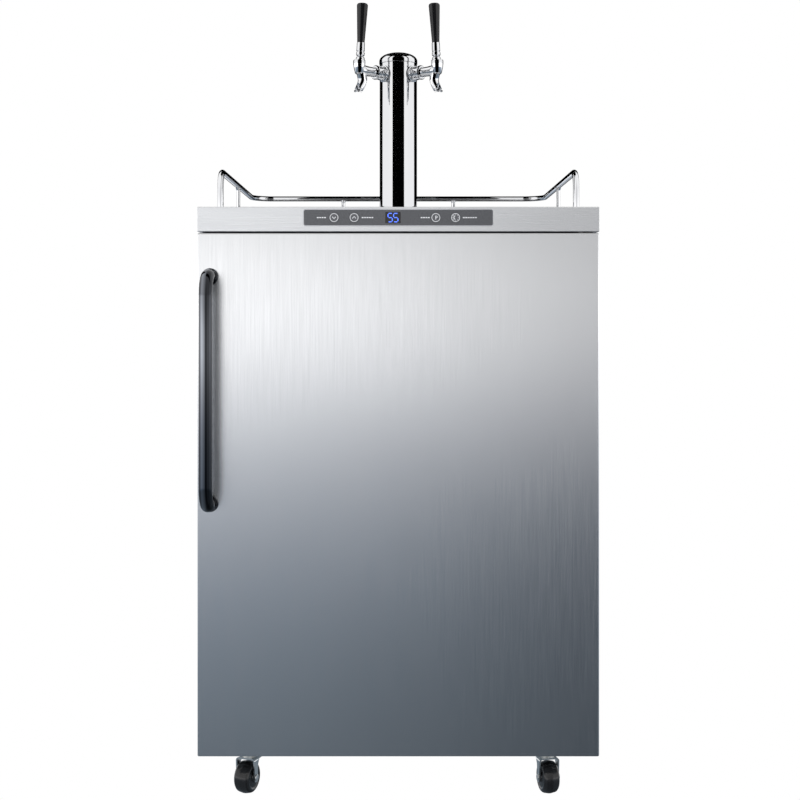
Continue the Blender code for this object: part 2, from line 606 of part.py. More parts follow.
def make_tower():
    top = 0.267
    column = turned("tower_column", [(0.030, 0), (0.042, 0), (0.042, 0.0035), (0.040, 0.0045),
                                     (TOWER_RADIUS, 0.0045), (TOWER_RADIUS, top), (0.030, top)],
                    CHROME, 32, at=(0, TOWER_Y, DECK_TOP_Z + FIT), ring=True)
    turned("tower_cap", [(0.0294, -0.006), (0.0294, FIT), (0.0325, FIT), (0.0325, 0.0053),
                         (0.0281, 0.0123), (0.0186, 0.0168), (0, 0.0193)],
           CHROME, 32, at=(0, TOWER_Y, DECK_TOP_Z + FIT + top))
    for side, yaw in TAP_YAWS.items():
        tap = empty(f"{side}_tap", (0, TOWER_Y, TAP_Z), yaw)
        cut(column, rod(f"{side}_shank_hole", (0.012, 0, 0), 0.03, 0.0113, "X", parent=tap))
        make_tap(side, tap)


def make_tap(side, tap):
    """One tap, with local +X pointing away from the tower along its shank."""
    reach = TAP_REACH
    turned(f"{side}_shank", [(0.0030, 0.0160), (0.0110, 0.0160), (0.0110, 0.0322), (0.0140, 0.0322),
                             (0.0140, 0.0362), (0.0095, 0.0366), (0.0095, 0.0445), (0.0030, 0.0445)],
           CHROME, 20, "X", tap, ring=True)
    turned(f"{side}_coupling_nut", [(0.0098, 0.0372), (0.0120, 0.0380), (0.0120, 0.0505),
                                    (0.0110, 0.0525), (0.0084, 0.0525), (0.0084, 0.0485),
                                    (0.0098, 0.0482)],
           CHROME, 20, "X", tap, ring=True)

    tail = [(0.0043, 0.0448), (0.0093, 0.0448), (0.0093, 0.0476), (0.0078, 0.0478), (0.0078, 0.0530),
            (0.0090, reach - 0.004), (0.0043, reach - 0.004)]
    body = turned(f"{side}_faucet_body", tail, CHROME, 16, "X", tap, ring=True)
    barrel = turned(f"{side}_barrel", [(0.0060, -0.0080), (0.0086, -0.0040), (0.0096, 0.0060),
                                       (0.0102, 0.0110), (0.0100, 0.0163), (0.0040, 0.0163)],
                    sides=20, parent=tap, at=(reach + 0.0018, 0, 0))
    spout = tube(f"{side}_spout",
                 [(reach, 0, 0.0020), (reach - 0.0030, 0, -0.0060), (reach - 0.0048, 0, -0.0137),
                  (reach - 0.0040, 0, -0.0195), (reach - 0.0010, 0, -0.0260),
                  (reach + 0.0035, 0, -0.0330)],
                 [0.0080, 0.0082, 0.0078, 0.0075, 0.0073, 0.0073], sides=12, parent=tap)
    join(body, barrel, spout)
    seat = ball_mesh(BALL_RADIUS + 0.0004)
    shaft_bore = reach - 0.008 - 0.040
    cut(body,
        add(f"{side}_ball_seat", seat, None, tap, (reach, 0, BALL_Z), helper=True),
        rod(f"{side}_shaft_bore", (0.040, 0, 0), shaft_bore, 0.0043, "X", sides=12, parent=tap),
        rod(f"{side}_spout_bore", (reach + 0.0030, 0, -0.0420), 0.014, 0.0050, sides=12, parent=tap))

    turned(f"{side}_faucet_shaft", [(0.0038, 0.0505), (0.0038, 0.0530), (0.0030, 0.0532),
                                    (0.0030, 0.0735)], BRASS, 10, "X", tap)

    ball = empty(f"{side}_ball", (reach, 0, BALL_Z), lean=LEVER_LEAN, parent=tap)
    lever = add(f"{side}_tap_lever", ball_mesh(BALL_RADIUS), CHROME, ball)
    ferrule = [(0.0045, 0.0020), (0.0045, 0.0068), (0.0072, 0.0074), (0.0072, 0.0125),
               (0.0060, 0.0130), (0.0060, 0.0140), (0.0070, 0.0144), (0.0066, 0.0285)]
    join(lever, turned(f"{side}_ferrule", ferrule, sides=16, parent=ball))
    knob_low, knob_high = 0.0285 + FIT, DECK_TOP_Z + 0.360 - TAP_Z - BALL_Z
    turned(f"{side}_tap_knob", [(0.0064, knob_low), (0.0093, knob_high - 0.004),
                                (0.0084, knob_high - 0.0010), (0.0068, knob_high)],
           BLACK, 20, parent=ball)


def ball_mesh(radius):
    bm = bmesh.new()
    bmesh.ops.create_uvsphere(bm, u_segments=16, v_segments=8, radius=radius)
    return bm


# Casters

def make_caster(corner, x, y, yaw):
    """A swivel caster. At yaw 0 its wheel trails behind the swivel, towards +Y."""
    plate_z = CABINET_BOTTOM_Z - FIT
    plate = block(f"{corner}_caster_plate", (x - 0.030, y - 0.026, plate_z - 0.0025),
                  (x + 0.030, y + 0.026, plate_z), ZINC)
    join(plate, turned(f"{corner}_race", [(0.0140, -0.0110), (0.0165, -0.0090), (0.0165, -0.0020)],
                       sides=16, at=(x, y, plate_z)))

    swivel = empty(f"{corner}_swivel", (x, y, 0), yaw)
    half, sheet = 0.0160, 0.0022
    crown_low, crown_high, hub_top = 0.0530, 0.0553, 0.0680
    crown = [(0.0155, crown_low), (0.0155, crown_high), (0.0110, hub_top)]
    fork = turned(f"{corner}_caster_fork", crown, ZINC, 16, parent=swivel)
    trail = CASTER_TRAIL
    leg_view = [(-0.0145, crown_high), (-0.0145, crown_low), (trail - 0.0070, crown_low - 0.006),
                (trail - 0.0055, 0.030), (trail - 0.0050, 0.0205), (trail, 0.0180),
                (trail + 0.0050, 0.0205), (trail + 0.0055, 0.030), (trail + 0.0070, crown_high)]
    join(fork, prism(f"{corner}_fork_legs", leg_view, "X", -half, half, parent=swivel))
    cut(fork, block(f"{corner}_fork_gap", (-half + sheet, -0.05, 0), (half - sheet, 0.08, crown_low),
                    parent=swivel))
    join(fork, rod(f"{corner}_axle", (-half - 0.0015, trail, WHEEL_RADIUS), 2 * half + 0.003,
                   AXLE_RADIUS, "X", sides=10, parent=swivel))

    bore = AXLE_RADIUS + 0.0004
    turned(f"{corner}_caster_wheel",
           [(bore, -HUB_HALF), (0.0075, -HUB_HALF), (0.0085, -WHEEL_HALF), (0.0175, -WHEEL_HALF),
            (0.0228, -0.0085), (WHEEL_RADIUS, 0), (0.0228, 0.0085), (0.0175, WHEEL_HALF),
            (0.0085, WHEEL_HALF), (0.0075, HUB_HALF), (bore, HUB_HALF)],
           TREAD, 24, "X", swivel, (0, trail, WHEEL_RADIUS), ring=True)


make_cabinet()
make_deck()
make_interior()
make_machine_space()
make_gas()
make_door()
make_guard_rail()
make_drip_tray()
make_tower()
for corner, (x, y, yaw) in CASTERS.items():
    make_caster(corner, x, y, yaw)
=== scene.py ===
"""The kegerator's looks: fine meshes, materials, stage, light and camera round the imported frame."""

import json
from math import atan2, cos, pi, radians, sin, tan, tau

import bmesh
import bpy
from mathutils import Matrix, Vector


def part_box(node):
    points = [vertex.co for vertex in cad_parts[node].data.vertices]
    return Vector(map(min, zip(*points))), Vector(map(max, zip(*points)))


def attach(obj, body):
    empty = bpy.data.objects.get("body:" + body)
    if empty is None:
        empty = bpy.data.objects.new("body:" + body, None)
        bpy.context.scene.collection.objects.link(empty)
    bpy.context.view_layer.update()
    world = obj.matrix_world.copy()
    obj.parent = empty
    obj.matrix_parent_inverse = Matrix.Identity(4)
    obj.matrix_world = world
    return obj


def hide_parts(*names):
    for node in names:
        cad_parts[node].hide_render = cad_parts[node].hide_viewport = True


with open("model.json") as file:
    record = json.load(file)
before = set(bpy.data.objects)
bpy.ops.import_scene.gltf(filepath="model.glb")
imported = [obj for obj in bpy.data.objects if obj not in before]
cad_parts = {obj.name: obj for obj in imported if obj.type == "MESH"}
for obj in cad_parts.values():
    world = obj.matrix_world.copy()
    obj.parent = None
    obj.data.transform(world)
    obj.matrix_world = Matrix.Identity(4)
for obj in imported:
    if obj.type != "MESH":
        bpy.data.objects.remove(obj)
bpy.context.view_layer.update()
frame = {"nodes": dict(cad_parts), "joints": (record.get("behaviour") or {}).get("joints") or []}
nodes = frame["nodes"]
joints = {joint["name"]: joint for joint in frame["joints"]}
COLLECTION = bpy.context.scene.collection


# Camera, at the photographer's place: level with the door's upper third, square to it

door_low, door_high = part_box("door_skin")
FACE_Y = door_low.y
EYE_DISTANCE, EYE_Z = 2.1, 0.726
LENS_MM, SENSOR_MM = 63.3, 36.0

camera_data = bpy.data.cameras.new("camera")
camera_data.lens, camera_data.sensor_width = LENS_MM, SENSOR_MM
camera_data.shift_x, camera_data.shift_y = 0.0021, -0.0975
camera = bpy.data.objects.new("camera", camera_data)
camera.location = (0, FACE_Y - EYE_DISTANCE, EYE_Z)
camera.rotation_euler = (radians(90), 0, 0)
COLLECTION.objects.link(camera)
bpy.context.scene.camera = camera
bpy.context.scene.view_settings.view_transform = "Standard"


# Materials

def surface(name, colour, rough, metallic=0.0, grain=300.0, stretch=(1, 1, 1), spread=0.05,
            bump=0.0, blotch=0.03, blotch_scale=9.0, **fixed):
    """A procedural finish: fine grain in the roughness and bump, and slow variation in the colour."""
    mat = bpy.data.materials.new(name)
    mat.use_nodes = True
    tree = mat.node_tree
    shader = tree.nodes["Principled BSDF"]
    shader.inputs["Metallic"].default_value = metallic
    for socket, value in fixed.items():
        shader.inputs[socket.replace("_", " ")].default_value = value
    place = tree.nodes.new("ShaderNodeTexCoord").outputs["Object"]
    mapping = tree.nodes.new("ShaderNodeMapping")
    mapping.inputs["Scale"].default_value = stretch
    tree.links.new(place, mapping.inputs["Vector"])

    fine = tree.nodes.new("ShaderNodeTexNoise")
    fine.inputs["Scale"].default_value = grain
    fine.inputs["Detail"].default_value = 3
    tree.links.new(mapping.outputs["Vector"], fine.inputs["Vector"])
    rough_range = tree.nodes.new("ShaderNodeMapRange")
    rough_range.inputs["From Min"].default_value = 0.25
    rough_range.inputs["From Max"].default_value = 0.75
    rough_range.inputs["To Min"].default_value = max(rough - spread, 0.01)
    rough_range.inputs["To Max"].default_value = rough + spread
    tree.links.new(fine.outputs["Fac"], rough_range.inputs["Value"])
    tree.links.new(rough_range.outputs["Result"], shader.inputs["Roughness"])

    slow = tree.nodes.new("ShaderNodeTexNoise")
    slow.inputs["Scale"].default_value = blotch_scale
    slow.inputs["Detail"].default_value = 2
    tree.links.new(place, slow.inputs["Vector"])
    shades = tree.nodes.new("ShaderNodeValToRGB")
    for element, factor in zip(shades.color_ramp.elements, (1 - blotch, 1 + blotch)):
        element.color = (*[min(c * factor, 1) for c in colour], 1)
    shades.color_ramp.elements[0].position = 0.3
    shades.color_ramp.elements[1].position = 0.7
    tree.links.new(slow.outputs["Fac"], shades.inputs["Fac"])
    tree.links.new(shades.outputs["Color"], shader.inputs["Base Color"])

    if bump:
        relief = tree.nodes.new("ShaderNodeBump")
        relief.inputs["Strength"].default_value = bump
        relief.inputs["Distance"].default_value = 0.0002
        tree.links.new(fine.outputs["Fac"], relief.inputs["Height"])
        tree.links.new(relief.outputs["Normal"], shader.inputs["Normal"])
    return mat


def brushed(name, colour, rough, stretch, turn=0.0, **more):
    """Steel brushed one way: grain stretched along the strokes, and highlights spread across them."""
    mat = surface(name, colour, rough, 1.0, grain=1.0, stretch=stretch, spread=0.045, bump=0.1,
                  blotch=0.012, blotch_scale=5.0, Anisotropic=0.55, Anisotropic_Rotation=turn, **more)
    tree = mat.node_tree
    tangent = tree.nodes.new("ShaderNodeTangent")
    tangent.direction_type = "UV_MAP"
    tree.links.new(tangent.outputs["Tangent"], tree.nodes["Principled BSDF"].inputs["Tangent"])
    return mat


def glow(name, colour, strength):
    mat = surface(name, [0.5 * c for c in colour], 0.4)
    shader = mat.node_tree.nodes["Principled BSDF"]
    shader.inputs["Emission Color"].default_value = (*colour, 1)
    shader.inputs["Emission Strength"].default_value = strength
    return mat


ACROSS, ALONG = 2600.0, 14.0
DOOR_STEEL = brushed("door_steel", (0.66, 0.665, 0.675), 0.22, (ACROSS, ACROSS, ALONG))
DECK_STEEL = brushed("deck_steel", (0.79, 0.795, 0.805), 0.3, (ALONG, ACROSS, ACROSS), 0.25)
PAINT = surface("black_paint", (0.02, 0.02, 0.022), 0.38, grain=1400, spread=0.06, bump=0.35, blotch=0.05)
CHROME = surface("chrome", (0.86, 0.865, 0.88), 0.035, 1.0, grain=60, spread=0.015, blotch=0.01)
DARK_CHROME_PAINTED_REFLECTIONS = surface("dark_chrome", (0.17, 0.18, 0.2), 0.06, 1.0, grain=90, spread=0.03, blotch=0.02)
ZINC = surface("zinc", (0.72, 0.73, 0.72), 0.34, 1.0, grain=180, spread=0.05, blotch=0.03, blotch_scale=60)
BRIGHT_ZINC = surface("bright_zinc", (0.8, 0.81, 0.8), 0.22, 1.0, grain=220, spread=0.05, blotch=0.04)
COPPER = surface("copper", (0.72, 0.38, 0.24), 0.25, 1.0, grain=200, spread=0.08, blotch=0.08)
BRASS = surface("brass", (0.75, 0.55, 0.26), 0.22, 1.0, grain=200, spread=0.06, blotch=0.05)
ALUMINIUM = surface("aluminium", (0.74, 0.75, 0.77), 0.36, 1.0, grain=500, spread=0.06, bump=0.08,
                    blotch=0.03)
FOAM = surface("insulation", (0.74, 0.63, 0.38), 0.9, grain=700, spread=0.05, bump=0.6, blotch=0.08)
LINER = surface("white_liner", (0.83, 0.84, 0.85), 0.3, grain=420, spread=0.05, bump=0.1, blotch=0.012)
GASKET = surface("gasket", (0.22, 0.22, 0.23), 0.55, grain=600, spread=0.05, bump=0.12, blotch=0.05)
PANEL = surface("panel", (0.075, 0.077, 0.085), 0.28, grain=900, spread=0.04, bump=0.04, blotch=0.05,
                Coat_Weight=0.25, Coat_Roughness=0.12)
BEZEL = surface("bezel", (0.62, 0.63, 0.66), 0.25, 1.0, grain=500, spread=0.05)
BUTTON = surface("button", (0.1, 0.1, 0.11), 0.35, grain=600, spread=0.05, blotch=0.04)
PRINT = surface("print", (0.8, 0.81, 0.83), 0.45, grain=800, spread=0.05, blotch=0.03)
GLOSS_BLACK = surface("gloss_black", (0.008, 0.008, 0.009), 0.1, grain=140, spread=0.03, blotch=0.1)
TREAD = surface("caster_tread", (0.012, 0.012, 0.013), 0.22, grain=260, spread=0.08, bump=0.05, blotch=0.15)
BLACK_PLASTIC = surface("black_plastic", (0.022, 0.022, 0.024), 0.5, grain=900, spread=0.08, bump=0.2,
                        blotch=0.1)
ENAMEL = surface("black_enamel", (0.014, 0.014, 0.015), 0.35, grain=300, spread=0.08, bump=0.08, blotch=0.1)
FLOOR_PLATE = surface("floor_plate", (0.3, 0.31, 0.32), 0.5, grain=900, spread=0.06, bump=0.2, blotch=0.04)
DIAL = surface("dial", (0.85, 0.85, 0.84), 0.4, grain=500, spread=0.05, blotch=0.02)
RED = surface("red_mark", (0.65, 0.03, 0.02), 0.4, grain=500, spread=0.05, blotch=0.05)
DIGITS = glow("display_digits", (0.09, 0.19, 1.0), 1.6)


def paint_reflection_streaks(mat, centre, radius, stops):
    """Paints reflections on an upright bar: bands of dark and bright base colour across its width, set by
    object x, stand in for what the chrome would reflect. Stops run from -1 to 1.
    """
    tree = mat.node_tree
    across = tree.nodes.new("ShaderNodeSeparateXYZ")
    tree.links.new(tree.nodes.new("ShaderNodeTexCoord").outputs["Object"], across.inputs["Vector"])
    place = tree.nodes.new("ShaderNodeMapRange")
    place.inputs["From Min"].default_value = centre - radius
    place.inputs["From Max"].default_value = centre + radius
    tree.links.new(across.outputs["X"], place.inputs["Value"])
    shades = tree.nodes.new("ShaderNodeValToRGB")
    elements = shades.color_ramp.elements
    for position, _ in stops[1:-1]:
        elements.new((position + 1) / 2)
    for element, (_, shade) in zip(elements, stops):
        element.color = (shade, shade * 1.06, shade * 1.18, 1)
    tree.links.new(place.outputs["Result"], shades.inputs["Fac"])
    tree.links.new(shades.outputs["Color"], tree.nodes["Principled BSDF"].inputs["Base Color"])


# Painted reflection: the handle bar and its collars get dark and bright streaks in their base colour across
# the bar's width, in place of real reflections
HANDLE_X, HANDLE_RADIUS = -0.281, 0.01
paint_reflection_streaks(DARK_CHROME_PAINTED_REFLECTIONS, HANDLE_X, HANDLE_RADIUS, ((-1, 0.03), (-0.75, 0.05), (-0.45, 0.24), (-0.15, 0.15),
                                                (0.15, 0.035), (0.6, 0.03), (0.8, 0.07), (1, 0.04)))


# Mesh helpers

TURNS = {
    "X": Matrix(((0, 0, 1), (1, 0, 0), (0, 1, 0))).to_4x4(),
    "Y": Matrix(((0, 1, 0), (0, 0, 1), (1, 0, 0))).to_4x4(),
    "Z": Matrix.Identity(4),
}


def moved(bm, matrix):
    bmesh.ops.transform(bm, matrix=matrix, verts=bm.verts)
    return bm


def at(x, y, z, yaw=0.0, lean=0.0):
    return Matrix.Translation((x, y, z)) @ Matrix.Rotation(yaw, 4, "Z") @ Matrix.Rotation(lean, 4, "Y")


def merged(*parts):
    """Several bmeshes as one."""
    whole = bmesh.new()
    for part in parts:
        mesh = bpy.data.meshes.new("part")
        part.to_mesh(mesh)
        part.free()
        whole.from_mesh(mesh)
        bpy.data.meshes.remove(mesh)
    return whole


def rounded(points, steps=5, closed=False):
    """Corner points (u, v, radius) as a path whose corners are arcs."""
    path = []
    for i, (u, v, radius) in enumerate(points):
        if radius <= 0 or (not closed and i in (0, len(points) - 1)):
            path.append((u, v))
            continue
        corner = Vector((u, v))
        before = Vector(points[i - 1][:2]) - corner
        after = Vector(points[(i + 1) % len(points)][:2]) - corner
        half = before.angle(after) / 2
        reach = min(radius / tan(half), before.length * 0.49, after.length * 0.49)
        radius = reach * tan(half)
        centre = corner + (before.normalized() + after.normalized()).normalized() * radius / sin(half)
        first = corner + before.normalized() * reach - centre
        last = corner + after.normalized() * reach - centre
        start = atan2(first.y, first.x)
        sweep = (atan2(last.y, last.x) - start + pi) % tau - pi
        path += [(centre.x + radius * cos(start + sweep * k / steps),
                  centre.y + radius * sin(start + sweep * k / steps)) for k in range(steps + 1)]
    return path


def lathe(profile, sides=64, axis="Z", ring=False):
    """Turns (radius, height) points about an axis. A ring profile closes on itself."""
    bm = bmesh.new()
    rows = []
    for radius, height in profile:
        count = 1 if radius < 1e-6 else sides
        rows.append([bm.verts.new((radius * cos(tau * i / sides), radius * sin(tau * i / sides), height))
                     for i in range(count)])
    for lower, upper in zip(rows, rows[1:] + rows[:1] if ring else rows[1:]):
        for i in range(sides):
            j = (i + 1) % sides
            corners = [lower[i % len(lower)], lower[j % len(lower)], upper[j % len(upper)],
                       upper[i % len(upper)]]
            corners = [v for k, v in enumerate(corners) if v not in corners[:k]]
            if len(corners) > 2:
                bm.faces.new(corners)
    if not ring:
        for row in (rows[0], rows[-1]):
            if len(row) > 1:
                bm.faces.new(row)
    return moved(bm, TURNS[axis])


def rod(radius, low, high, sides=64, axis="Z"):
    """A plain cylinder from low to high along an axis."""
    return lathe([(radius, low), (radius, high)], sides, axis)


def turned(profile, sides=64, axis="Z", steps=5, ring=False):
    """A lathe shape from (radius, height, corner radius) points."""
    return lathe(rounded(profile, steps, ring), sides, axis, ring)


def sweep(path, radius, sides=24, squash=1.0):
    """A round bar along a path. radius may be one number or one per point."""
    path = [Vector(p) for p in path]
    radii = radius if isinstance(radius, (list, tuple)) else [radius] * len(path)
    bm = bmesh.new()
    rings = []
    side = None
    for i, point in enumerate(path):
        ahead = path[min(i + 1, len(path) - 1)] - point
        behind = point - path[max(i - 1, 0)]
        along = (ahead.normalized() + behind.normalized()).normalized()
        if side is None:
            side = along.cross(Vector((0.31, 0.17, 0.93))).normalized()
        side = (side - along * side.dot(along)).normalized()
        up = along.cross(side) * squash
        rings.append([bm.verts.new(point + radii[i] * (side * cos(tau * k / sides)
                                                       + up * sin(tau * k / sides))) for k in range(sides)])
    for a, b in zip(rings, rings[1:]):
        for k in range(sides):
            bm.faces.new((a[k], a[(k + 1) % sides], b[(k + 1) % sides], b[k]))
    bm.faces.new(rings[0])
    bm.faces.new(rings[-1])
    return bm


def bent(corners, bend, steps=10):
    """A path through corners, each rounded to a bend radius."""
    corners = [Vector(c) for c in corners]
    path = [corners[0]]
    for before, corner, after in zip(corners, corners[1:], corners[2:]):
        a, b = (before - corner).normalized(), (after - corner).normalized()
        half = a.angle(b) / 2
        centre = corner + (a + b).normalized() * bend / sin(half)
        start = (corner + a * bend / tan(half) - centre).normalized()
        end = (corner + b * bend / tan(half) - centre).normalized()
        path += [centre + bend * start.slerp(end, k / steps) for k in range(steps + 1)]
    path.append(corners[-1])
    return path


def smooth_path(points, steps=8):
    """A Catmull-Rom curve through points of any length, such as (x, y, z, radius)."""
    path = []
    for i in range(len(points) - 1):
        p0, p1, p2, p3 = (points[max(i - 1, 0)], points[i], points[i + 1],
                          points[min(i + 2, len(points) - 1)])
        for k in range(steps):
            t = k / steps
            path.append([0.5 * (2 * b + (c - a) * t + (2 * a - 5 * b + 4 * c - d) * t * t
                                + (3 * b - a - 3 * c + d) * t ** 3) for a, b, c, d in zip(p0, p1, p2, p3)])
    path.append(list(points[-1]))
    return path


def box(low, high, radius=0.0, segments=3):
    bm = bmesh.new()
    bmesh.ops.create_cube(bm, size=1)
    for vert in bm.verts:
        vert.co = [a + (b - a) * (c + 0.5) for a, b, c in zip(low, high, vert.co)]
    if radius:
        bmesh.ops.bevel(bm, geom=bm.edges[:], offset=radius, segments=segments, profile=0.5, affect="EDGES")
    return bm


def prism(outline, axis, low, high):
    """Extrudes an outline. X takes (y, z), Y takes (z, x), Z takes (x, y)."""
    bm = bmesh.new()
    ends = [[bm.verts.new((u, v, w)) for u, v in outline] for w in (low, high)]
    for end in ends:
        bm.faces.new(end)
    for i in range(len(outline)):
        j = (i + 1) % len(outline)
        bm.faces.new((ends[0][i], ends[0][j], ends[1][j], ends[1][i]))
    bmesh.ops.recalc_face_normals(bm, faces=bm.faces)
    return moved(bm, TURNS[axis])


def rectangle(u0, v0, u1, v1, radius, steps=6):
    return rounded([(u0, v0, radius), (u1, v0, radius), (u1, v1, radius), (u0, v1, radius)], steps, True)


def temporary(bm):
    bmesh.ops.recalc_face_normals(bm, faces=bm.faces)
    mesh = bpy.data.meshes.new("temporary")
    bm.to_mesh(mesh)
    bm.free()
    made = bpy.data.objects.new("temporary", mesh)
    COLLECTION.objects.link(made)
    return made


def evaluated(made):
    """The object's mesh with its modifiers applied, as a bmesh. The object goes."""
    graph = bpy.context.evaluated_depsgraph_get()
    bm = bmesh.new()
    bm.from_mesh(made.evaluated_get(graph).to_mesh())
    mesh = made.data
    bpy.data.objects.remove(made)
    bpy.data.meshes.remove(mesh)
    return bm


def carve(bm, cutters=(), joined=()):
    """Joins shapes onto a bmesh, then cuts others from it."""
    base = temporary(bm)
    helpers = []
    for shapes, operation in ((joined, "UNION"), (cutters, "DIFFERENCE")):
        for shape in shapes:
            helper = temporary(shape)
            step = base.modifiers.new("carve", "BOOLEAN")
            step.operation, step.solver, step.object = operation, "EXACT", helper
            helpers.append(helper)
    bpy.context.view_layer.update()
    result = evaluated(base)
    for helper in helpers:
        bpy.data.objects.remove(helper)
    bmesh.ops.remove_doubles(result, verts=result.verts, dist=1e-6)
    bmesh.ops.dissolve_limit(result, angle_limit=radians(0.5), verts=result.verts, edges=result.edges)
    return result


def softened(bm, width, segments=3, angle=30):
    """Rounds every edge sharper than the angle."""
    made = temporary(bm)
    step = made.modifiers.new("soften", "BEVEL")
    step.width, step.segments, step.limit_method = width, segments, "ANGLE"
    step.angle_limit = radians(angle)
    bpy.context.view_layer.update()
    return evaluated(made)


def shell(bm, thickness):
    """An open surface given a wall, inwards."""
    made = temporary(bm)
    step = made.modifiers.new("wall", "SOLIDIFY")
    step.thickness, step.offset, step.use_even_offset = thickness, -1, True
    bpy.context.view_layer.update()
    return evaluated(made)


def pick(bm, test):
    """Edges whose two ends both pass a test."""
    return [e for e in bm.edges if all(test(v.co) for v in e.verts)]


def face_towards(bm, axis, sign):
    bm.normal_update()
    return max(bm.faces, key=lambda f: sign * f.calc_center_median()[axis])


def map_flat(mesh):
    """UVs that run level across upright faces, so that the tangent is level too."""
    layer = mesh.uv_layers.new(name="UVMap")
    for face in mesh.polygons:
        n = [abs(c) for c in face.normal]
        u, v = (1, 2) if n[0] == max(n) else (0, 2) if n[1] == max(n) else (0, 1)
        for loop in face.loop_indices:
            co = mesh.vertices[mesh.loops[loop].vertex_index].co
            layer.data[loop].uv = (co[u], co[v])


def piece(name, bm, mat, body, node=None, sharp=40, flat_uv=False):
    """A finished piece that rides a body, and stands for a CAD node if one is named."""
    bmesh.ops.remove_doubles(bm, verts=bm.verts, dist=1e-7)
    bmesh.ops.recalc_face_normals(bm, faces=bm.faces)
    mesh = bpy.data.meshes.new(name)
    bm.to_mesh(mesh)
    bm.free()
    mesh.shade_smooth()
    mesh.set_sharp_from_angle(angle=radians(sharp))
    if flat_uv:
        map_flat(mesh)
    mesh.materials.append(mat)
    made = bpy.data.objects.new(name, mesh)
    COLLECTION.objects.link(made)
    # Large flat faces keep their own normals, and only the rounded edges between them shade smoothly
    if mat not in (CHROME, DARK_CHROME_PAINTED_REFLECTIONS, GLOSS_BLACK, TREAD):
        flatten = made.modifiers.new("weighted_normals", "WEIGHTED_NORMAL")
        flatten.weight, flatten.keep_sharp = 100, True
    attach(made, body)
    if node:
        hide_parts(node)
    return made


# Door

def make_door():
    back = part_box("door_liner")[1].y
    skin_back = door_high.y
    x0, x1, z0, z1 = door_low.x, door_high.x, door_low.z, door_high.z

    skin = box((x0, FACE_Y, z0), (x1, skin_back, z1))
    bmesh.ops.delete(skin, geom=[face_towards(skin, 1, 1)], context="FACES_ONLY")
    front = pick(skin, lambda co: co.y < FACE_Y + 1e-5)
    corners = [e for e in skin.edges if abs(e.verts[0].co.y - e.verts[1].co.y) > 0.01]
    bmesh.ops.bevel(skin, geom=front + corners, offset=0.0022, segments=5, profile=0.5, affect="EDGES")
    skin = shell(skin, 0.0009)
    piece("door_outer_skin", skin, DOOR_STEEL, "door", "door_skin", flat_uv=True)

    liner_low, liner_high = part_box("door_liner")
    flange_y = liner_high.y - 0.0037
    sheet = box((liner_low.x + 0.001, flange_y, liner_low.z), (liner_high.x - 0.001, back, liner_high.z))
    bmesh.ops.bevel(sheet, geom=pick(sheet, lambda co: co.y > back - 1e-5), offset=0.0025, segments=4,
                    affect="EDGES")
    bowl = (0.235, 0.14, 0.82, liner_low.y + 0.0015)
    recess = box((-bowl[0], bowl[3], bowl[1]), (bowl[0], back + 0.05, bowl[2]))
    deep = [e for e in recess.edges if min(v.co.y for v in e.verts) < back]
    bmesh.ops.bevel(recess, geom=deep, offset=0.012, segments=5, profile=0.5, affect="EDGES")
    outer = box((-bowl[0] - 0.0015, liner_low.y, bowl[1] - 0.0015),
                (bowl[0] + 0.0015, back - 0.002, bowl[2] + 0.0015))
    ribs = [box((x - 0.004, bowl[3] - 0.0008, bowl[1] + 0.05), (x + 0.004, bowl[3] + 0.003, bowl[2] - 0.05),
                0.0006) for x in (-0.15, -0.05, 0.05, 0.15)]
    liner = carve(sheet, [recess], [outer])
    liner = softened(liner, 0.0008, 2)
    piece("door_inner_liner", merged(liner, *ribs), LINER, "door", "door_liner")

    low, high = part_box("door_gasket")
    mid_x, mid_z = high.x - 0.007, (low.z + 0.007, high.z - 0.007)
    depth = high.y - low.y
    section = rounded([(-0.007, 0, 0.001), (-0.007, depth * 0.3, 0.001), (-0.0035, depth * 0.42, 0.001),
                       (-0.0055, depth * 0.55, 0.001), (-0.0055, depth, 0.0015), (0.0055, depth, 0.0015),
                       (0.0055, depth * 0.55, 0.001), (0.0035, depth * 0.42, 0.001),
                       (0.007, depth * 0.3, 0.001), (0.007, 0, 0.001)], 3, True)
    frame_path = rectangle(-mid_x, mid_z[0], mid_x, mid_z[1], 0.01, 5)
    seal = bmesh.new()
    rings = []
    for i, (x, z) in enumerate(frame_path):
        ahead = Vector(frame_path[(i + 1) % len(frame_path)]) - Vector((x, z))
        behind = Vector((x, z)) - Vector(frame_path[i - 1])
        along = (ahead.normalized() + behind.normalized()).normalized()
        rings.append([seal.verts.new((x + along.y * u, low.y + v, z - along.x * u)) for u, v in section])
    for a, b in zip(rings, rings[1:] + rings[:1]):
        for k in range(len(section)):
            seal.faces.new((a[k], a[(k + 1) % len(section)], b[(k + 1) % len(section)], b[k]))
    piece("door_seal", seal, GASKET, "door", "door_gasket")


def make_handle():
    """A round bar bent back to the door at both ends, with a collar at each."""
    low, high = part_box("door_handle")
    x, radius = HANDLE_X, HANDLE_RADIUS
    bar_y = low.y + radius
    top, bottom = high.z - radius, low.z + radius
    path = bent([(x, high.y, top), (x, bar_y, top), (x, bar_y, bottom), (x, high.y, bottom)], 0.03, 14)
    piece("bar_handle", sweep(path, radius, 48), DARK_CHROME_PAINTED_REFLECTIONS, "door", "door_handle")
    for end, z in (("upper", top), ("lower", bottom)):
        collar = turned([(0.0102, 0, 0), (0.0125, 0, 0.0006), (0.0125, 0.0035, 0.0012),
                         (0.0102, 0.0045, 0.0006)], 48, "Y", ring=True)
        moved(collar, at(x, FACE_Y - 0.0046, z))
        piece(f"handle_collar_{end}", collar, DARK_CHROME_PAINTED_REFLECTIONS, "door")


# Deck, control panel and buttons

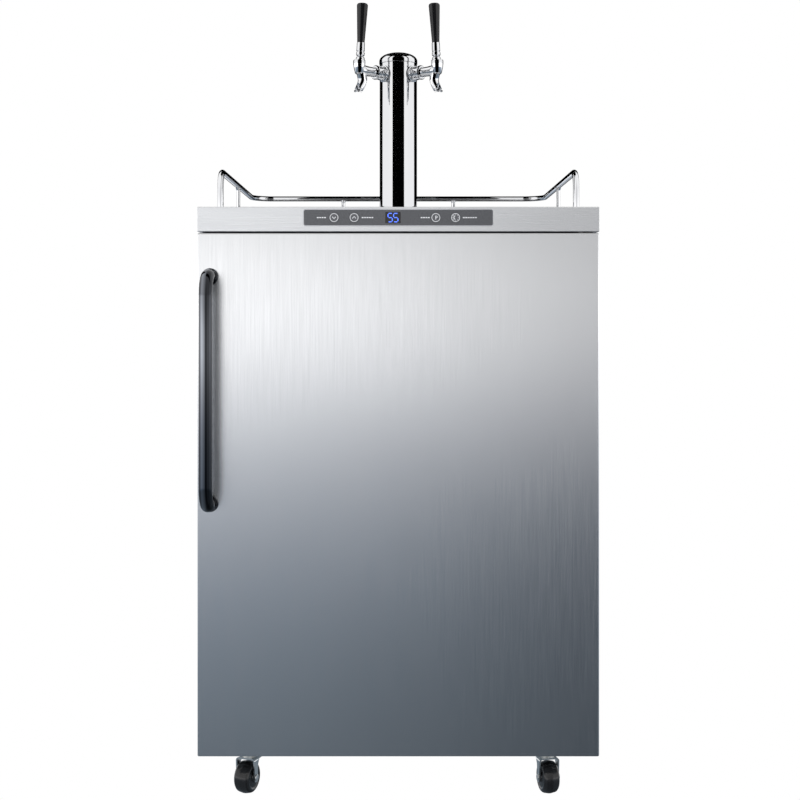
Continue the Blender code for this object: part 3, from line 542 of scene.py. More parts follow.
def make_deck():
    """The folded top sheet, with its fascia in front and the window for the control panel."""
    low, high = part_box("top_deck")
    sheet, pocket_back = 0.0012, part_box("cabinet_wrap")[0].y - 0.0022
    rear_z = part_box("cabinet_wrap")[1].z + 0.0003
    side = rounded([(low.y, low.z, 0.0008), (pocket_back, low.z, 0), (pocket_back, rear_z, 0),
                    (high.y, rear_z, 0), (high.y, high.z, 0.001), (low.y, high.z, 0.0012)], 4, True)
    body = prism(side, "X", low.x, high.x)
    panel_low, panel_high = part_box("control_panel")
    gap = 0.0004
    window = rectangle(panel_low.z - gap, panel_low.x - gap, panel_high.z + gap, panel_high.x + gap, 0.0034)
    pocket = box((low.x + sheet, low.y + sheet, low.z + sheet),
                 (high.x - sheet, pocket_back + 0.002, high.z - sheet))
    hole = moved(rod(0.026, -0.02, 0.02, 48), at(0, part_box("tower_column")[0].y + 0.042, high.z))
    deck = softened(carve(body, [pocket, prism(window, "Y", low.y - 0.01, low.y + 0.01), hole]), 0.00035, 2)
    piece("deck_sheet", deck, DECK_STEEL, "cabinet", "top_deck", flat_uv=True)


def arc_points(radius, start, end, steps, centre=(0, 0)):
    return [(centre[0] + radius * cos(radians(start + (end - start) * k / steps)),
             centre[1] + radius * sin(radians(start + (end - start) * k / steps)))
            for k in range(steps + 1)]


def stroke(points, width, thickness, closed=False):
    """A flat printed line in the XZ plane through (x, z) points, facing -Y."""
    flat = [(x, 0, z) for x, z in points]
    if closed:
        flat.append(flat[0])
    bm = bmesh.new()
    left, right = [], []
    for i, p in enumerate(flat):
        a = Vector(flat[max(i - 1, 0)] if not closed or i else flat[-2])
        b = Vector(flat[min(i + 1, len(flat) - 1)] if not closed or i < len(flat) - 1 else flat[1])
        along = (b - a).normalized()
        side = Vector((-along.z, 0, along.x)) * width / 2
        left.append(Vector(p) + side)
        right.append(Vector(p) - side)
    for y in (0, -thickness):
        for i in range(len(flat) - 1):
            quad = [left[i], left[i + 1], right[i + 1], right[i]]
            bm.faces.new([bm.verts.new(q + Vector((0, y, 0))) for q in quad])
    for rail in (left, right):
        for i in range(len(flat) - 1):
            bm.faces.new([bm.verts.new(q) for q in (rail[i], rail[i + 1],
                                                    rail[i + 1] + Vector((0, -thickness, 0)),
                                                    rail[i] + Vector((0, -thickness, 0)))])
    if not closed:
        for i in (0, -1):
            bm.faces.new([bm.verts.new(q) for q in (left[i], right[i],
                                                    right[i] + Vector((0, -thickness, 0)),
                                                    left[i] + Vector((0, -thickness, 0)))])
    bmesh.ops.remove_doubles(bm, verts=bm.verts, dist=1e-7)
    return bm


PRINT_THICK = 0.00008


def make_panel():
    """The control panel with its keys, printed marks and two-digit display."""
    low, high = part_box("control_panel")
    outline = rectangle(low.z, low.x, high.z, high.x, 0.003)
    buttons = {name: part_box(f"{name}_button") for name in ("colder", "warmer", "units", "deep_chill")}
    mid_z = (low.z + high.z) / 2
    holes = [moved(rod(0.0071, -0.02, 0.02, 48, "Y"), at((b[0].x + b[1].x) / 2, low.y, mid_z))
             for b in buttons.values()]
    plate = softened(carve(prism(outline, "Y", low.y, high.y), holes), 0.0003, 3)
    piece("panel_plate", plate, PANEL, "cabinet", "control_panel")
    rim_out = rectangle(low.z - 0.0003, low.x - 0.0003, high.z + 0.0003, high.x + 0.0003, 0.0033)
    rim_in = rectangle(low.z + 0.0005, low.x + 0.0005, high.z - 0.0005, high.x - 0.0005, 0.0025)
    rim = carve(prism(rim_out, "Y", low.y - 0.0002, low.y + 0.0002),
                [prism(rim_in, "Y", low.y - 0.01, low.y + 0.01)])
    piece("panel_rim", rim, BEZEL, "cabinet")

    for name, (b_low, b_high) in buttons.items():
        x = (b_low.x + b_high.x) / 2
        radius = 0.0068
        cap = turned([(0, 0, 0), (radius - 0.001, 0.0001, 0.0003), (radius, 0.0005, 0.0005),
                      (radius, 0.0029, 0), (radius + 0.0012, 0.0029, 0), (radius + 0.0012, 0.0037, 0),
                      (0, 0.0037, 0)], 48, "Y")
        piece(f"{name}_key", moved(cap, at(x, b_low.y, mid_z)), BUTTON, f"{name}_button", f"{name}_button")
        marks = [stroke(arc_points(0.006, 0, 352.5, 47), 0.00085, PRINT_THICK, closed=True)]
        if name in ("colder", "warmer"):
            tip = -0.0016 if name == "colder" else 0.0016
            marks.append(stroke([(-0.0027, -tip * 0.75), (0, tip), (0.0027, -tip * 0.75)], 0.001,
                                PRINT_THICK))
        elif name == "units":
            marks.append(stroke([(-0.0002, -0.003), (-0.0002, 0.003)], 0.0009, PRINT_THICK))
            marks.append(stroke([(0.0003, 0.0026), (0.003, 0.001), (0.0003, -0.0006)], 0.0009, PRINT_THICK))
        else:
            marks.append(stroke(arc_points(0.0026, 100, 260, 14), 0.0011, PRINT_THICK))
            marks += [stroke([(0.0036 * cos(t), 0.0036 * sin(t)), (0.0047 * cos(t), 0.0047 * sin(t))],
                             0.0006, PRINT_THICK) for t in (k * tau / 8 for k in range(8))]
        icon = moved(merged(*marks), at(x, b_low.y + 0.00005, mid_z))
        piece(f"{name}_mark", icon, PRINT, f"{name}_button")

    # Rows of plain dashes stand where the panel is lettered
    print_y = low.y
    for name, start, count in (("colder", -0.1215, 4), ("warmer", -0.0545, 5), ("units", 0.0335, 4),
                               ("deep_chill", 0.0965, 6)):
        dashes = [stroke([(start + k * 0.0036, mid_z), (start + k * 0.0036 + 0.0026, mid_z)], 0.0016,
                         PRINT_THICK) for k in range(count)]
        piece(f"{name}_dashes", moved(merged(*dashes), at(0, print_y, 0)), PRINT, "cabinet")

    # Two seven-segment digits, both 5
    window = prism(rectangle(mid_z - 0.0085, -0.0195, mid_z + 0.0085, 0.0035, 0.001), "Y",
                   print_y - 0.00006, print_y + 0.0002)
    piece("display_window", window, GLOSS_BLACK, "cabinet")
    height, width, thick = 0.0126, 0.0064, 0.0013
    digits = []
    for centre in (-0.0122, -0.0038):
        top, middle, bottom = mid_z + height / 2, mid_z, mid_z - height / 2
        left, right = centre - width / 2, centre + width / 2
        gap = 0.0009
        segments = [((left + gap, top), (right - gap, top)), ((left + gap, middle), (right - gap, middle)),
                    ((left + gap, bottom), (right - gap, bottom)),
                    ((left, top - gap), (left, middle + gap)),
                    ((right, middle - gap), (right, bottom + gap))]
        digits += [stroke(list(ends), thick, PRINT_THICK) for ends in segments]
    piece("display_digits", moved(merged(*digits), at(0, print_y - 0.00008, 0)), DIGITS, "cabinet")


# Guard rail

def make_rail():
    low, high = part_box("guard_rail")
    radius, post = 0.00475, 0.00315
    half, z = high.x - radius, high.z - radius
    front, back = low.y + radius, high.y - radius
    corners = [Vector(c) for c in ((-half, front, low.z), (-half, front, z), (-half, back, z),
                                   (half, back, z), (half, front, z), (half, front, low.z))]
    path = [corners[0]]
    for k, bend in enumerate((0.027, 0.04, 0.04, 0.027)):
        path += bent(corners[k:k + 3], bend, 12)[1:-1]
    path.append(corners[-1])
    parts = [sweep(path, radius, 32)]
    side_post = FACE_Y + 0.29
    for x, y in ((-half, side_post), (half, side_post), (-0.103, back), (0.103, back)):
        profile = rounded([(0, low.z, 0), (post, low.z, 0), (post, z - 0.0075, 0.004),
                           (post + 0.0015, z - 0.0035, 0), (0, z, 0)])
        parts.append(moved(lathe(profile, 24), at(x, y, 0)))
    piece("gallery_rail", merged(*parts), CHROME, "cabinet", "guard_rail")
    feet = [(-half, front, radius), (half, front, radius), (-half, side_post, post),
            (half, side_post, post), (-0.103, back, post), (0.103, back, post)]
    rings = []
    for x, y, inner in feet:
        rings.append(moved(turned([(inner + 0.0001, 0, 0), (inner + 0.0035, 0, 0),
                                   (inner + 0.0035, 0.0016, 0.0008), (inner + 0.0012, 0.0028, 0.0006),
                                   (inner + 0.0001, 0.0028, 0)], 32, ring=True), at(x, y, low.z)))
    piece("rail_feet", merged(*rings), CHROME, "cabinet")


# Tower and taps

TOWER_Y = (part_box("tower_column")[0].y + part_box("tower_column")[1].y) / 2
TAP_YAWS = {"left": radians(-140), "right": radians(-40)}
TAP_REACH = 0.083
BALL_RISE = 0.0175
LEVER_LEAN = radians(-3)
TAP_Z = joints["left_tap_lever"]["pos_m"][2] - BALL_RISE


def make_tower():
    low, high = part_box("tower_column")
    radius, wall = 0.03175, 0.0018
    top = high.z - low.z
    column = turned([(radius - wall, 0, 0), (0.042, 0, 0), (0.042, 0.0032, 0.0015), (0.0395, 0.0046, 0.001),
                     (radius, 0.005, 0.0022), (radius, top, 0.0002), (radius - wall, top, 0)], 128, steps=6,
                    ring=True)
    holes = [moved(rod(0.0112, 0.012, 0.045, 40, "X"), at(0, 0, TAP_Z - low.z, yaw))
             for yaw in TAP_YAWS.values()]
    column = carve(column, holes)
    piece("column_tube", moved(column, at(0, TOWER_Y, low.z)), CHROME, "cabinet", "tower_column",
          sharp=30)
    cap_low, cap_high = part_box("tower_cap")
    rim, shoulder = 0.0325, 0.0053
    rise = cap_high.z - high.z - shoulder
    dome = [(rim * cos(t) ** 0.9, shoulder + rise * sin(t)) for t in (k * pi / 2 / 20 for k in range(20))]
    skirt = [(0.0292, cap_low.z - high.z), (0.0292, 0.0002), (rim - 0.0004, 0.0002), (rim, 0.0006)]
    profile = skirt + dome + [(0, shoulder + rise)]
    piece("column_cap", moved(lathe(profile, 128), at(0, TOWER_Y, high.z)), CHROME, "cabinet", "tower_cap")


def make_tap(side, yaw):
    """Local +X points away from the tower, along the shank."""
    tap = at(0, TOWER_Y, TAP_Z, yaw)
    flange = rounded([(0.003, 0.016, 0), (0.0108, 0.016, 0.0004), (0.0108, 0.0322, 0),
                      (0.014, 0.0322, 0.0005), (0.014, 0.034, 0.0005), (0.0122, 0.0344, 0.0002),
                      (0.0122, 0.0362, 0.0006), (0.0095, 0.0366, 0.0002), (0.0095, 0.0445, 0.0003),
                      (0.003, 0.0445, 0)], 4, True)
    piece(f"{side}_shank_tube", moved(lathe(flange, 64, "X", ring=True), tap), CHROME, "cabinet",
          f"{side}_shank")
    nut = turned([(0.0098, 0.0372, 0), (0.012, 0.0374, 0.0008), (0.012, 0.0398, 0.0002),
                  (0.0114, 0.0402, 0.0002), (0.0114, 0.0488, 0.0002), (0.012, 0.0492, 0.0002),
                  (0.012, 0.0508, 0.0008), (0.0106, 0.0525, 0.0006), (0.0084, 0.0525, 0),
                  (0.0084, 0.0485, 0), (0.0098, 0.0482, 0)], 72, "X", steps=4, ring=True)
    pins = [moved(rod(0.0016, 0.008, 0.02, 20), at(0.0445, 0, 0) @ Matrix.Rotation(k * tau / 8, 4, "X"))
            for k in range(8)]
    piece(f"{side}_nut", moved(carve(nut, pins), tap), CHROME, "cabinet", f"{side}_coupling_nut",
          sharp=30)

    reach = TAP_REACH
    tail = sweep([(x, 0, 0) for x, _ in ((0.0448, 0), (0.0476, 0))], 0.009, 40)
    neck = smooth_path([(0.047, 0.0076), (0.054, 0.0078), (0.062, 0.008), (0.07, 0.0086), (0.078, 0.0094),
                        (0.083, 0.009)], 4)
    neck = sweep([(x, 0, 0) for x, _ in neck], [r for _, r in neck], 40)
    barrel = turned([(0, -0.0075, 0), (0.007, -0.007, 0.004), (0.0093, 0.004, 0.01), (0.01, 0.01, 0.003),
                     (0.0102, 0.015, 0.001), (0.0096, 0.0168, 0.0008), (0, 0.0168, 0)], 56)
    moved(barrel, at(reach + 0.0018, 0, 0))
    spout = smooth_path([(reach, 0, 0.002, 0.0076), (reach - 0.003, 0, -0.006, 0.0081),
                         (reach - 0.0048, 0, -0.0137, 0.0078), (reach - 0.004, 0, -0.0195, 0.0074),
                         (reach - 0.001, 0, -0.026, 0.0071), (reach + 0.0034, 0, -0.0328, 0.0071)], 6)
    spout = sweep([p[:3] for p in spout], [p[3] for p in spout], 40)
    seat = bmesh.new()
    bmesh.ops.create_uvsphere(seat, u_segments=40, v_segments=20, radius=0.008)
    moved(seat, at(reach, 0, BALL_RISE))
    mouth = at(reach + 0.0036, 0, -0.0332) @ Matrix.Rotation(radians(212), 4, "Y")
    bore = moved(rod(0.0057, -0.012, 0.006, 32), mouth)
    body = carve(tail, [seat, bore], [neck, barrel, spout])
    body = softened(body, 0.001, 4, 38)
    piece(f"{side}_faucet", moved(body, tap), CHROME, "cabinet", f"{side}_faucet_body", sharp=50)
    lip = rounded([(0.0057, -0.0018, 0.0002), (0.0077, -0.0018, 0.0004), (0.0077, 0.0004, 0.0004),
                   (0.0057, 0.0004, 0.0002)], 3, True)
    piece(f"{side}_spout_lip", moved(lathe(lip, 40, ring=True), tap @ mouth), CHROME, "cabinet")

    ball = tap @ at(reach, 0, BALL_RISE, lean=LEVER_LEAN)
    sphere = bmesh.new()
    bmesh.ops.create_uvsphere(sphere, u_segments=40, v_segments=20, radius=0.0076)
    ferrule = turned([(0, 0.004, 0), (0.0046, 0.004, 0), (0.0046, 0.0066, 0.0008), (0.0071, 0.0074, 0.0006),
                      (0.0071, 0.012, 0.001), (0.006, 0.0126, 0.0003), (0.006, 0.014, 0.0003),
                      (0.0069, 0.0145, 0.0005), (0.0066, 0.0285, 0.0004), (0, 0.0285, 0)], 56)
    piece(f"{side}_lever", moved(merged(sphere, ferrule), ball), CHROME, f"{side}_tap", f"{side}_tap_lever")
    knob_low, knob_high = 0.0288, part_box(f"{side}_tap_knob")[1].z - TAP_Z - BALL_RISE
    grip = turned([(0, knob_low, 0), (0.0062, knob_low, 0.0004), (0.0093, knob_high - 0.003, 0.004),
                   (0.008, knob_high - 0.0004, 0.0026), (0, knob_high - 0.0002, 0)], 64, steps=8)
    piece(f"{side}_knob", moved(grip, ball), GLOSS_BLACK, f"{side}_tap", f"{side}_tap_knob")


# Drip tray

def tray_outline(low, high, inset, corner):
    x, front, back, notch = high.x - inset, low.y + inset, high.y - inset, 0.047 + inset
    reach = (notch ** 2 - (TOWER_Y - back) ** 2) ** 0.5
    start = atan2(back - TOWER_Y, reach)
    arc = [(notch * cos(start + (-pi - 2 * start) * k / 24),
            TOWER_Y + notch * sin(start + (-pi - 2 * start) * k / 24), 0) for k in range(25)]
    return rounded([(-x, front, corner), (x, front, corner), (x, back, corner)] + arc
                   + [(-x, back, corner)], 5, True)


def make_tray():
    low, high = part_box("drip_tray")
    tray = carve(prism(tray_outline(low, high, 0, 0.008), "Z", low.z, high.z),
                 [prism(tray_outline(low, high, 0.0018, 0.0062), "Z", low.z + 0.001, high.z + 0.01)])
    piece("tray_pan", softened(tray, 0.0005, 3), DECK_STEEL, "cabinet", "drip_tray",
          flat_uv=True)
    grille_low, grille_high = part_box("drip_grille")
    plate = prism(tray_outline(low, high, 0.0024, 0.0056), "Z", grille_high.z - 0.0012, grille_high.z)
    count, pitch = 29, 0.0093
    slots = []
    for k in range(count):
        x = (k - (count - 1) / 2) * pitch
        back = high.y - 0.052 if abs(x) < 0.056 else high.y - 0.014
        for start, end in ((low.y + 0.012, (low.y + back) / 2 - 0.003), ((low.y + back) / 2 + 0.003, back)):
            slots.append(prism(rectangle(x - 0.0022, start, x + 0.0022, end, 0.00215, 4), "Z", grille_low.z,
                               high.z + 0.01))
    grille = carve(plate, [merged(*slots)])
    piece("tray_grille", grille, DECK_STEEL, "cabinet", "drip_grille", flat_uv=True)


# Casters

WHEEL_RADIUS = 0.025
BOLT_X, BOLT_Y = 0.023, 0.019


def make_caster(corner):
    """A plate, a strap fork that swivels under it, and a wheel that trails behind the swivel."""
    swivel, roll = joints[f"{corner}_swivel"], joints[f"{corner}_roll"]
    x, y, _ = swivel["pos_m"]
    yaw = atan2(roll["axis"][1], roll["axis"][0])
    trail = (Vector(roll["pos_m"][:2]) - Vector((x, y))).length
    plate_low, plate_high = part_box(f"{corner}_caster_plate")
    thick = 0.0025
    plate = prism(rectangle(plate_low.x, plate_low.y, plate_high.x, plate_high.y, 0.006), "Z",
                  plate_high.z - thick, plate_high.z)
    race = turned([(0, -0.011, 0), (0.014, -0.011, 0.001), (0.0165, -0.0085, 0.002),
                   (0.0165, -thick + 0.0002, 0), (0, -thick + 0.0002, 0)], 48, steps=4)
    moved(race, at(x, y, plate_high.z))
    holes = [moved(rod(0.003, -0.02, 0.02, 20), at(x + sx * BOLT_X, y + sy * BOLT_Y, plate_high.z))
             for sx in (-1, 1) for sy in (-1, 1)]
    piece(f"{corner}_plate", softened(carve(plate, holes, [race]), 0.0004, 2), ZINC, "cabinet",
          f"{corner}_caster_plate")
    bolts = []
    for sx in (-1, 1):
        for sy in (-1, 1):
            bolt = turned([(0, -0.0032, 0), (0.0044, -0.0032, 0.0008), (0.0048, 0, 0), (0, 0, 0)], 6,
                          steps=3)
            bolts.append(moved(bolt, at(x + sx * BOLT_X, y + sy * BOLT_Y, plate_high.z - thick, 0.3)))
    piece(f"{corner}_bolts", merged(*bolts), ZINC, "cabinet")

    place = at(x, y, 0, yaw)
    half, sheet, crown_low, crown_high, hub_top = 0.016, 0.0022, 0.053, 0.0553, 0.068
    outer = rounded([(-half, 0.01, 0), (-half, crown_high, 0.005), (half, crown_high, 0.005),
                     (half, 0.01, 0)], 6)
    inner = rounded([(half - sheet, 0.01, 0), (half - sheet, crown_low, 0.0028),
                     (-half + sheet, crown_low, 0.0028), (-half + sheet, 0.01, 0)], 6)
    arch = prism([(z, u) for u, z in outer + inner], "Y", -0.04, 0.06)
    leg_view = rounded([(-0.0145, 0.07, 0), (-0.0145, 0.0528, 0), (trail - 0.01, 0.0515, 0.004),
                        (trail - 0.0058, 0.044, 0.006), (trail - 0.0055, 0.026, 0.004),
                        (trail - 0.0052, 0.018, 0.005), (trail + 0.0052, 0.018, 0.005),
                        (trail + 0.0055, 0.026, 0.004), (trail + 0.007, 0.053, 0.004),
                        (trail + 0.007, 0.07, 0)], 5, True)
    keep = prism(leg_view, "X", -0.03, 0.03)
    base = temporary(arch)
    helper = temporary(keep)
    step = base.modifiers.new("trim", "BOOLEAN")
    step.operation, step.solver, step.object = "INTERSECT", "EXACT", helper
    bpy.context.view_layer.update()
    fork = evaluated(base)
    bpy.data.objects.remove(helper)
    hub = turned([(0, crown_high - 0.001, 0), (0.015, crown_high - 0.001, 0),
                  (0.015, crown_high + 0.003, 0.001), (0.0115, hub_top, 0.001), (0, hub_top, 0)], 48,
                 steps=4)
    fork = softened(carve(fork, [], [hub]), 0.0005, 3)
    piece(f"{corner}_fork", moved(fork, place), BRIGHT_ZINC, f"{corner}_swivel", f"{corner}_caster_fork",
          sharp=35)
    axle = []
    for sign in (-1, 1):
        bolt = turned([(0, 0, 0), (0.0052, 0, 0), (0.0052, 0.0016, 0.0008), (0, 0.0018, 0)],
                      6 if sign > 0 else 28, "X", steps=3)
        axle.append(moved(bolt, Matrix.Scale(sign, 4, (1, 0, 0)) @ at(half + 0.0001, 0, 0)))
    axle.append(rod(0.003, -half, half, 24, "X"))
    piece(f"{corner}_axle", moved(merged(*axle), place @ at(0, trail, WHEEL_RADIUS)), ZINC,
          f"{corner}_swivel")

    width, hub = 0.013, 0.0134
    half_tread = [(0.0034, hub, 0), (0.0062, hub, 0.0006), (0.0074, width - 0.0008, 0.001),
                  (0.015, width - 0.0016, 0.001), (0.019, width, 0.003), (0.023, 0.01, 0.006)]
    tread = half_tread + [(WHEEL_RADIUS, 0, 0.014)] + [(r, -w, c) for r, w, c in reversed(half_tread)]
    tread = rounded(tread, 6, True)
    wheel = lathe(tread, 72, "X", ring=True)
    piece(f"{corner}_wheel", moved(wheel, place @ at(0, trail, WHEEL_RADIUS)), TREAD, f"{corner}_wheel",
          f"{corner}_caster_wheel")


# Cabinet, liner and interior

def corners_2d(half_x, half_y):
    return [(x, y) for x in (-half_x, half_x) for y in (-half_y, half_y)]


def screw_head(radius, place, axis="Z", flip=False):
    """A pan-head screw with a cross recess, on a face that looks along the axis, or against it."""
    head = turned([(0, 0, 0), (radius, 0, 0), (radius, radius * 0.35, radius * 0.3),
                   (radius * 0.4, radius * 0.62, radius * 0.3), (0, radius * 0.64, 0)], 24)
    arm, half = radius * 0.52, radius * 0.12
    cross = [box((-u, -v, radius * 0.35), (u, v, radius)) for u, v in ((arm, half), (half, arm))]
    head = carve(head, cross)
    turn = Matrix.Rotation(pi, 4, "X") if flip else Matrix.Identity(4)
    return moved(head, Matrix.Translation(place) @ TURNS[axis] @ turn)


def make_cabinet():
    """The outer wrap: one painted sheet with folded edges, open at the back and below."""
    low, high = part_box("cabinet_wrap")
    sheet, half = 0.001, high.x
    wrap = box(low, high)
    outer = [e for e in wrap.edges if all(v.co.z > high.z - 1e-5 or v.co.y < low.y + 1e-5 for v in e.verts)
             and abs(e.verts[0].co.x - e.verts[1].co.x) < 0.01]
    bmesh.ops.bevel(wrap, geom=outer, offset=0.0016, segments=4, profile=0.5, affect="EDGES")
    liner_low, liner_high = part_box("inner_liner")
    gap = 0.0003
    wrap = carve(wrap, [box((-half + sheet, low.y + sheet, 0.05), (half - sheet, 0.4, high.z - sheet)),
                        box((liner_low.x - gap, low.y - 0.01, liner_low.z - gap),
                            (liner_high.x + gap, low.y + 0.01, liner_high.z + gap)),
                        moved(rod(0.026, 0.86, 0.92, 48), at(0, TOWER_Y, 0))])
    piece("wrap_sheet", wrap, PAINT, "cabinet", "cabinet_wrap", sharp=30)


def make_liner():
    """The white inside, stepped over the compressor, with its corners rounded for cleaning."""
    liner_low, liner_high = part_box("inner_liner")
    wall = 0.0015
    step_y, step_z = 0.17, 0.345
    front, back = liner_low.y, liner_high.y
    outer = [(front, liner_low.z), (step_y + wall, liner_low.z), (step_y + wall, step_z - wall),
             (back, step_z - wall), (back, liner_high.z), (front, liner_high.z)]
    floor_z, top_z, bend = liner_low.z + wall, liner_high.z - wall, 0.016
    space = prism(rounded([(front - 0.05, floor_z, 0), (step_y, floor_z, bend), (step_y, step_z, 0.004),
                           (back - wall, step_z, bend), (back - wall, top_z, bend),
                           (front - 0.05, top_z, 0)], 6, True), "X", liner_low.x + wall,
                  liner_high.x - wall)
    side = liner_high.x - wall
    ends = [e for e in space.edges if all(abs(abs(v.co.x) - side) < 1e-5 for v in e.verts)
            and abs(e.verts[0].co.x - e.verts[1].co.x) < 1e-5
            and max(v.co.y for v in e.verts) > front - 0.04]
    bmesh.ops.bevel(space, geom=ends, offset=0.009, segments=5, profile=0.5, affect="EDGES")
    hole = moved(rod(0.022, 0.82, 0.86, 48), at(0, TOWER_Y, 0))
    liner = carve(prism(outer, "X", liner_low.x, liner_high.x), [space, hole])
    ribs = []
    for sign in (-1, 1):
        for z in (0.4, 0.52, 0.64, 0.76):
            ribs.append(box((min(sign * side, sign * (side - 0.004)), -0.17, z - 0.006),
                            (max(sign * side, sign * (side - 0.004)), 0.13, z + 0.006), 0.0028, 4))
    piece("liner_shell", liner, LINER, "cabinet", "inner_liner", sharp=28)
    piece("liner_ribs", merged(*ribs), LINER, "cabinet")
    bush = turned([(0.0185, -0.003, 0), (0.0275, -0.003, 0.0015), (0.0275, -0.0002, 0),
                   (0.0218, -0.0002, 0), (0.0218, 0.0012, 0), (0.0185, 0.0012, 0)], 56, steps=3, ring=True)
    piece("line_grommet", moved(bush, at(0, TOWER_Y, top_z)), BLACK_PLASTIC, "cabinet")


def make_keg_plate():
    low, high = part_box("keg_floor_plate")
    plate = box(low, (high.x, high.y, high.z - 0.0012), 0.0007, 2)
    count = 46
    ribs = [box((x - 0.0017, low.y + 0.012, low.z + 0.001), (x + 0.0017, high.y - 0.012, high.z), 0.0005, 2)
            for x in (low.x + 0.012 + (high.x - low.x - 0.024) * k / (count - 1) for k in range(count))]
    piece("keg_mat", merged(plate, *ribs), FLOOR_PLATE, "cabinet", "keg_floor_plate")


def make_evaporator():
    """A roll-bonded plate, with its channel raised in a serpentine, on four posts."""
    low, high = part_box("evaporator_plate")
    sheet_low, sheet_high = low.y + 0.001, low.y + 0.0023
    plate = prism(rectangle(low.z, low.x, high.z, high.x, 0.01), "Y", sheet_low, sheet_high)
    posts = [moved(turned([(0.0045, 0, 0.0005), (0.0058, high.y - sheet_high, 0.0005)], 24, "Y", steps=2),
                   at(x, sheet_high, z)) for x in (low.x + 0.02, high.x - 0.02)
             for z in (low.z + 0.02, high.z - 0.02)]
    heads = [screw_head(0.0038, (x, sheet_low, z), "Y", True)
             for x in (low.x + 0.02, high.x - 0.02) for z in (low.z + 0.02, high.z - 0.02)]
    runs, inset = 6, 0.032
    pitch = (high.z - low.z - 2 * inset) / (runs - 1)
    corners = []
    for k in range(runs):
        ends = (low.x + inset, high.x - inset) if k % 2 == 0 else (high.x - inset, low.x + inset)
        corners += [(x, 0, low.z + inset + k * pitch) for x in ends]
    channel = sweep(bent(corners, pitch / 2 - 0.001, 8), 0.0042, 16)
    moved(channel, Matrix.Translation((0, sheet_low + 0.0002, 0)) @ Matrix.Scale(0.26, 4, (0, 1, 0)))
    piece("evaporator", merged(plate, channel, *posts), ALUMINIUM, "cabinet", "evaporator_plate")
    piece("evaporator_screws", merged(*heads), ZINC, "cabinet")


def make_control_case():
    low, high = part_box("control_housing")
    case = box(low, high, 0.003, 4)
    vents = [box((x - 0.0012, low.y + 0.006, high.z - 0.002), (x + 0.0012, high.y - 0.006, high.z + 0.01))
             for x in (-0.13 + 0.006 * k for k in range(12))]
    piece("control_case", carve(case, [merged(*vents)]), BLACK_PLASTIC, "cabinet", "control_housing")


def make_fan():
    """A square circulation fan: a ducted frame with its motor, and a rotor of five twisted blades."""
    fan = Vector(joints["fan_spin"]["pos_m"])
    low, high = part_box("fan_housing")
    mid = Vector(((low.x + high.x) / 2, low.y, (low.z + high.z) / 2))
    half, depth, duct, flange = (high.x - low.x) / 2, 0.025, 0.0415, 0.0035
    outline = rectangle(-half, -half, half, half, 0.006)
    screw_at = 0.0385
    frame_parts = [prism(outline, "Y", 0, flange), prism(outline, "Y", depth - flange, depth)]
    tube_wall = lathe([(duct - 0.003, 0), (duct + 0.0022, 0), (duct + 0.0022, depth),
                       (duct - 0.003, depth)], 96, "Y", ring=True)
    bosses = [moved(rod(0.0052, 0.0002, depth - 0.0002, 24, "Y"), at(x, 0, z))
              for x, z in corners_2d(screw_at, screw_at)]
    bore = rod(duct, -0.01, 0.05, 96, "Y")
    pockets = [moved(rod(0.0026, -0.01, 0.0018, 20, "Y"), at(x, 0, z))
               for x, z in corners_2d(screw_at, screw_at)]
    body = softened(carve(frame_parts[0], [bore] + pockets,
                          [frame_parts[1], tube_wall] + bosses), 0.0004, 2)
    struts = []
    for k in range(4):
        strut = box((0.008, 0.0195, -0.0021), (0.043, 0.0235, 0.0021), 0.0006, 2)
        struts.append(moved(strut, Matrix.Rotation(radians(20 + 90 * k), 4, "Y")))
    motor = turned([(0, 0.0172, 0), (0.014, 0.0172, 0.0006), (0.014, depth, 0.0012), (0, depth, 0)], 56,
                   "Y", steps=3)
    foot_at, foot_end = 0.036, high.y - low.y
    feet = [moved(lathe([(0.005, depth - 0.001), (0.0058, foot_end)], 20, "Y"), at(x, 0, z))
            for x, z in corners_2d(foot_at, foot_at)]
    piece("fan_frame", moved(merged(body, motor, *struts, *feet), Matrix.Translation(mid)), BLACK_PLASTIC,
          "cabinet", "fan_housing")
    heads = [screw_head(0.0024, mid + Vector((x, 0.0018, z)), "Y", True)
             for x, z in corners_2d(screw_at, screw_at)]
    piece("fan_screws", merged(*heads), ZINC, "cabinet")

    hub = turned([(0, 0.002, 0), (0.0138, 0.0026, 0.0016), (0.015, 0.0165, 0.0003), (0.0128, 0.0165, 0),
                  (0.012, 0.007, 0), (0, 0.007, 0)], 64, "Y", steps=5)
    blades = []
    stations, chord_steps = 8, 10
    for k in range(5):
        bm = bmesh.new()
        grid = []
        for i in range(stations + 1):
            t = i / stations
            radius = 0.0142 + (0.0385 - 0.0142) * t
            pitch, span = radians(44 - 16 * t), radians(48 + 6 * t)
            row = []
            for j in range(chord_steps + 1):
                along = j / chord_steps - 0.5
                turn = along * span + radians(10) * t
                rise = along * min(radius * span * sin(pitch) / cos(pitch) * 0.8, 0.0132)
                camber = 0.0012 * (1 - (2 * along) ** 2)
                row.append(bm.verts.new((radius * cos(turn), 0.0095 + rise - camber, radius * sin(turn))))
            grid.append(row)
        for a, b in zip(grid, grid[1:]):
            for j in range(chord_steps):
                bm.faces.new((a[j], a[j + 1], b[j + 1], b[j]))
        blades.append(moved(shell(bm, 0.0011), Matrix.Rotation(tau * k / 5, 4, "Y")))
    piece("fan_rotor", moved(merged(hub, *blades), Matrix.Translation((fan.x, mid.y, fan.z))),
          BLACK_PLASTIC, "fan_rotor", "fan_blade")


# Gas set

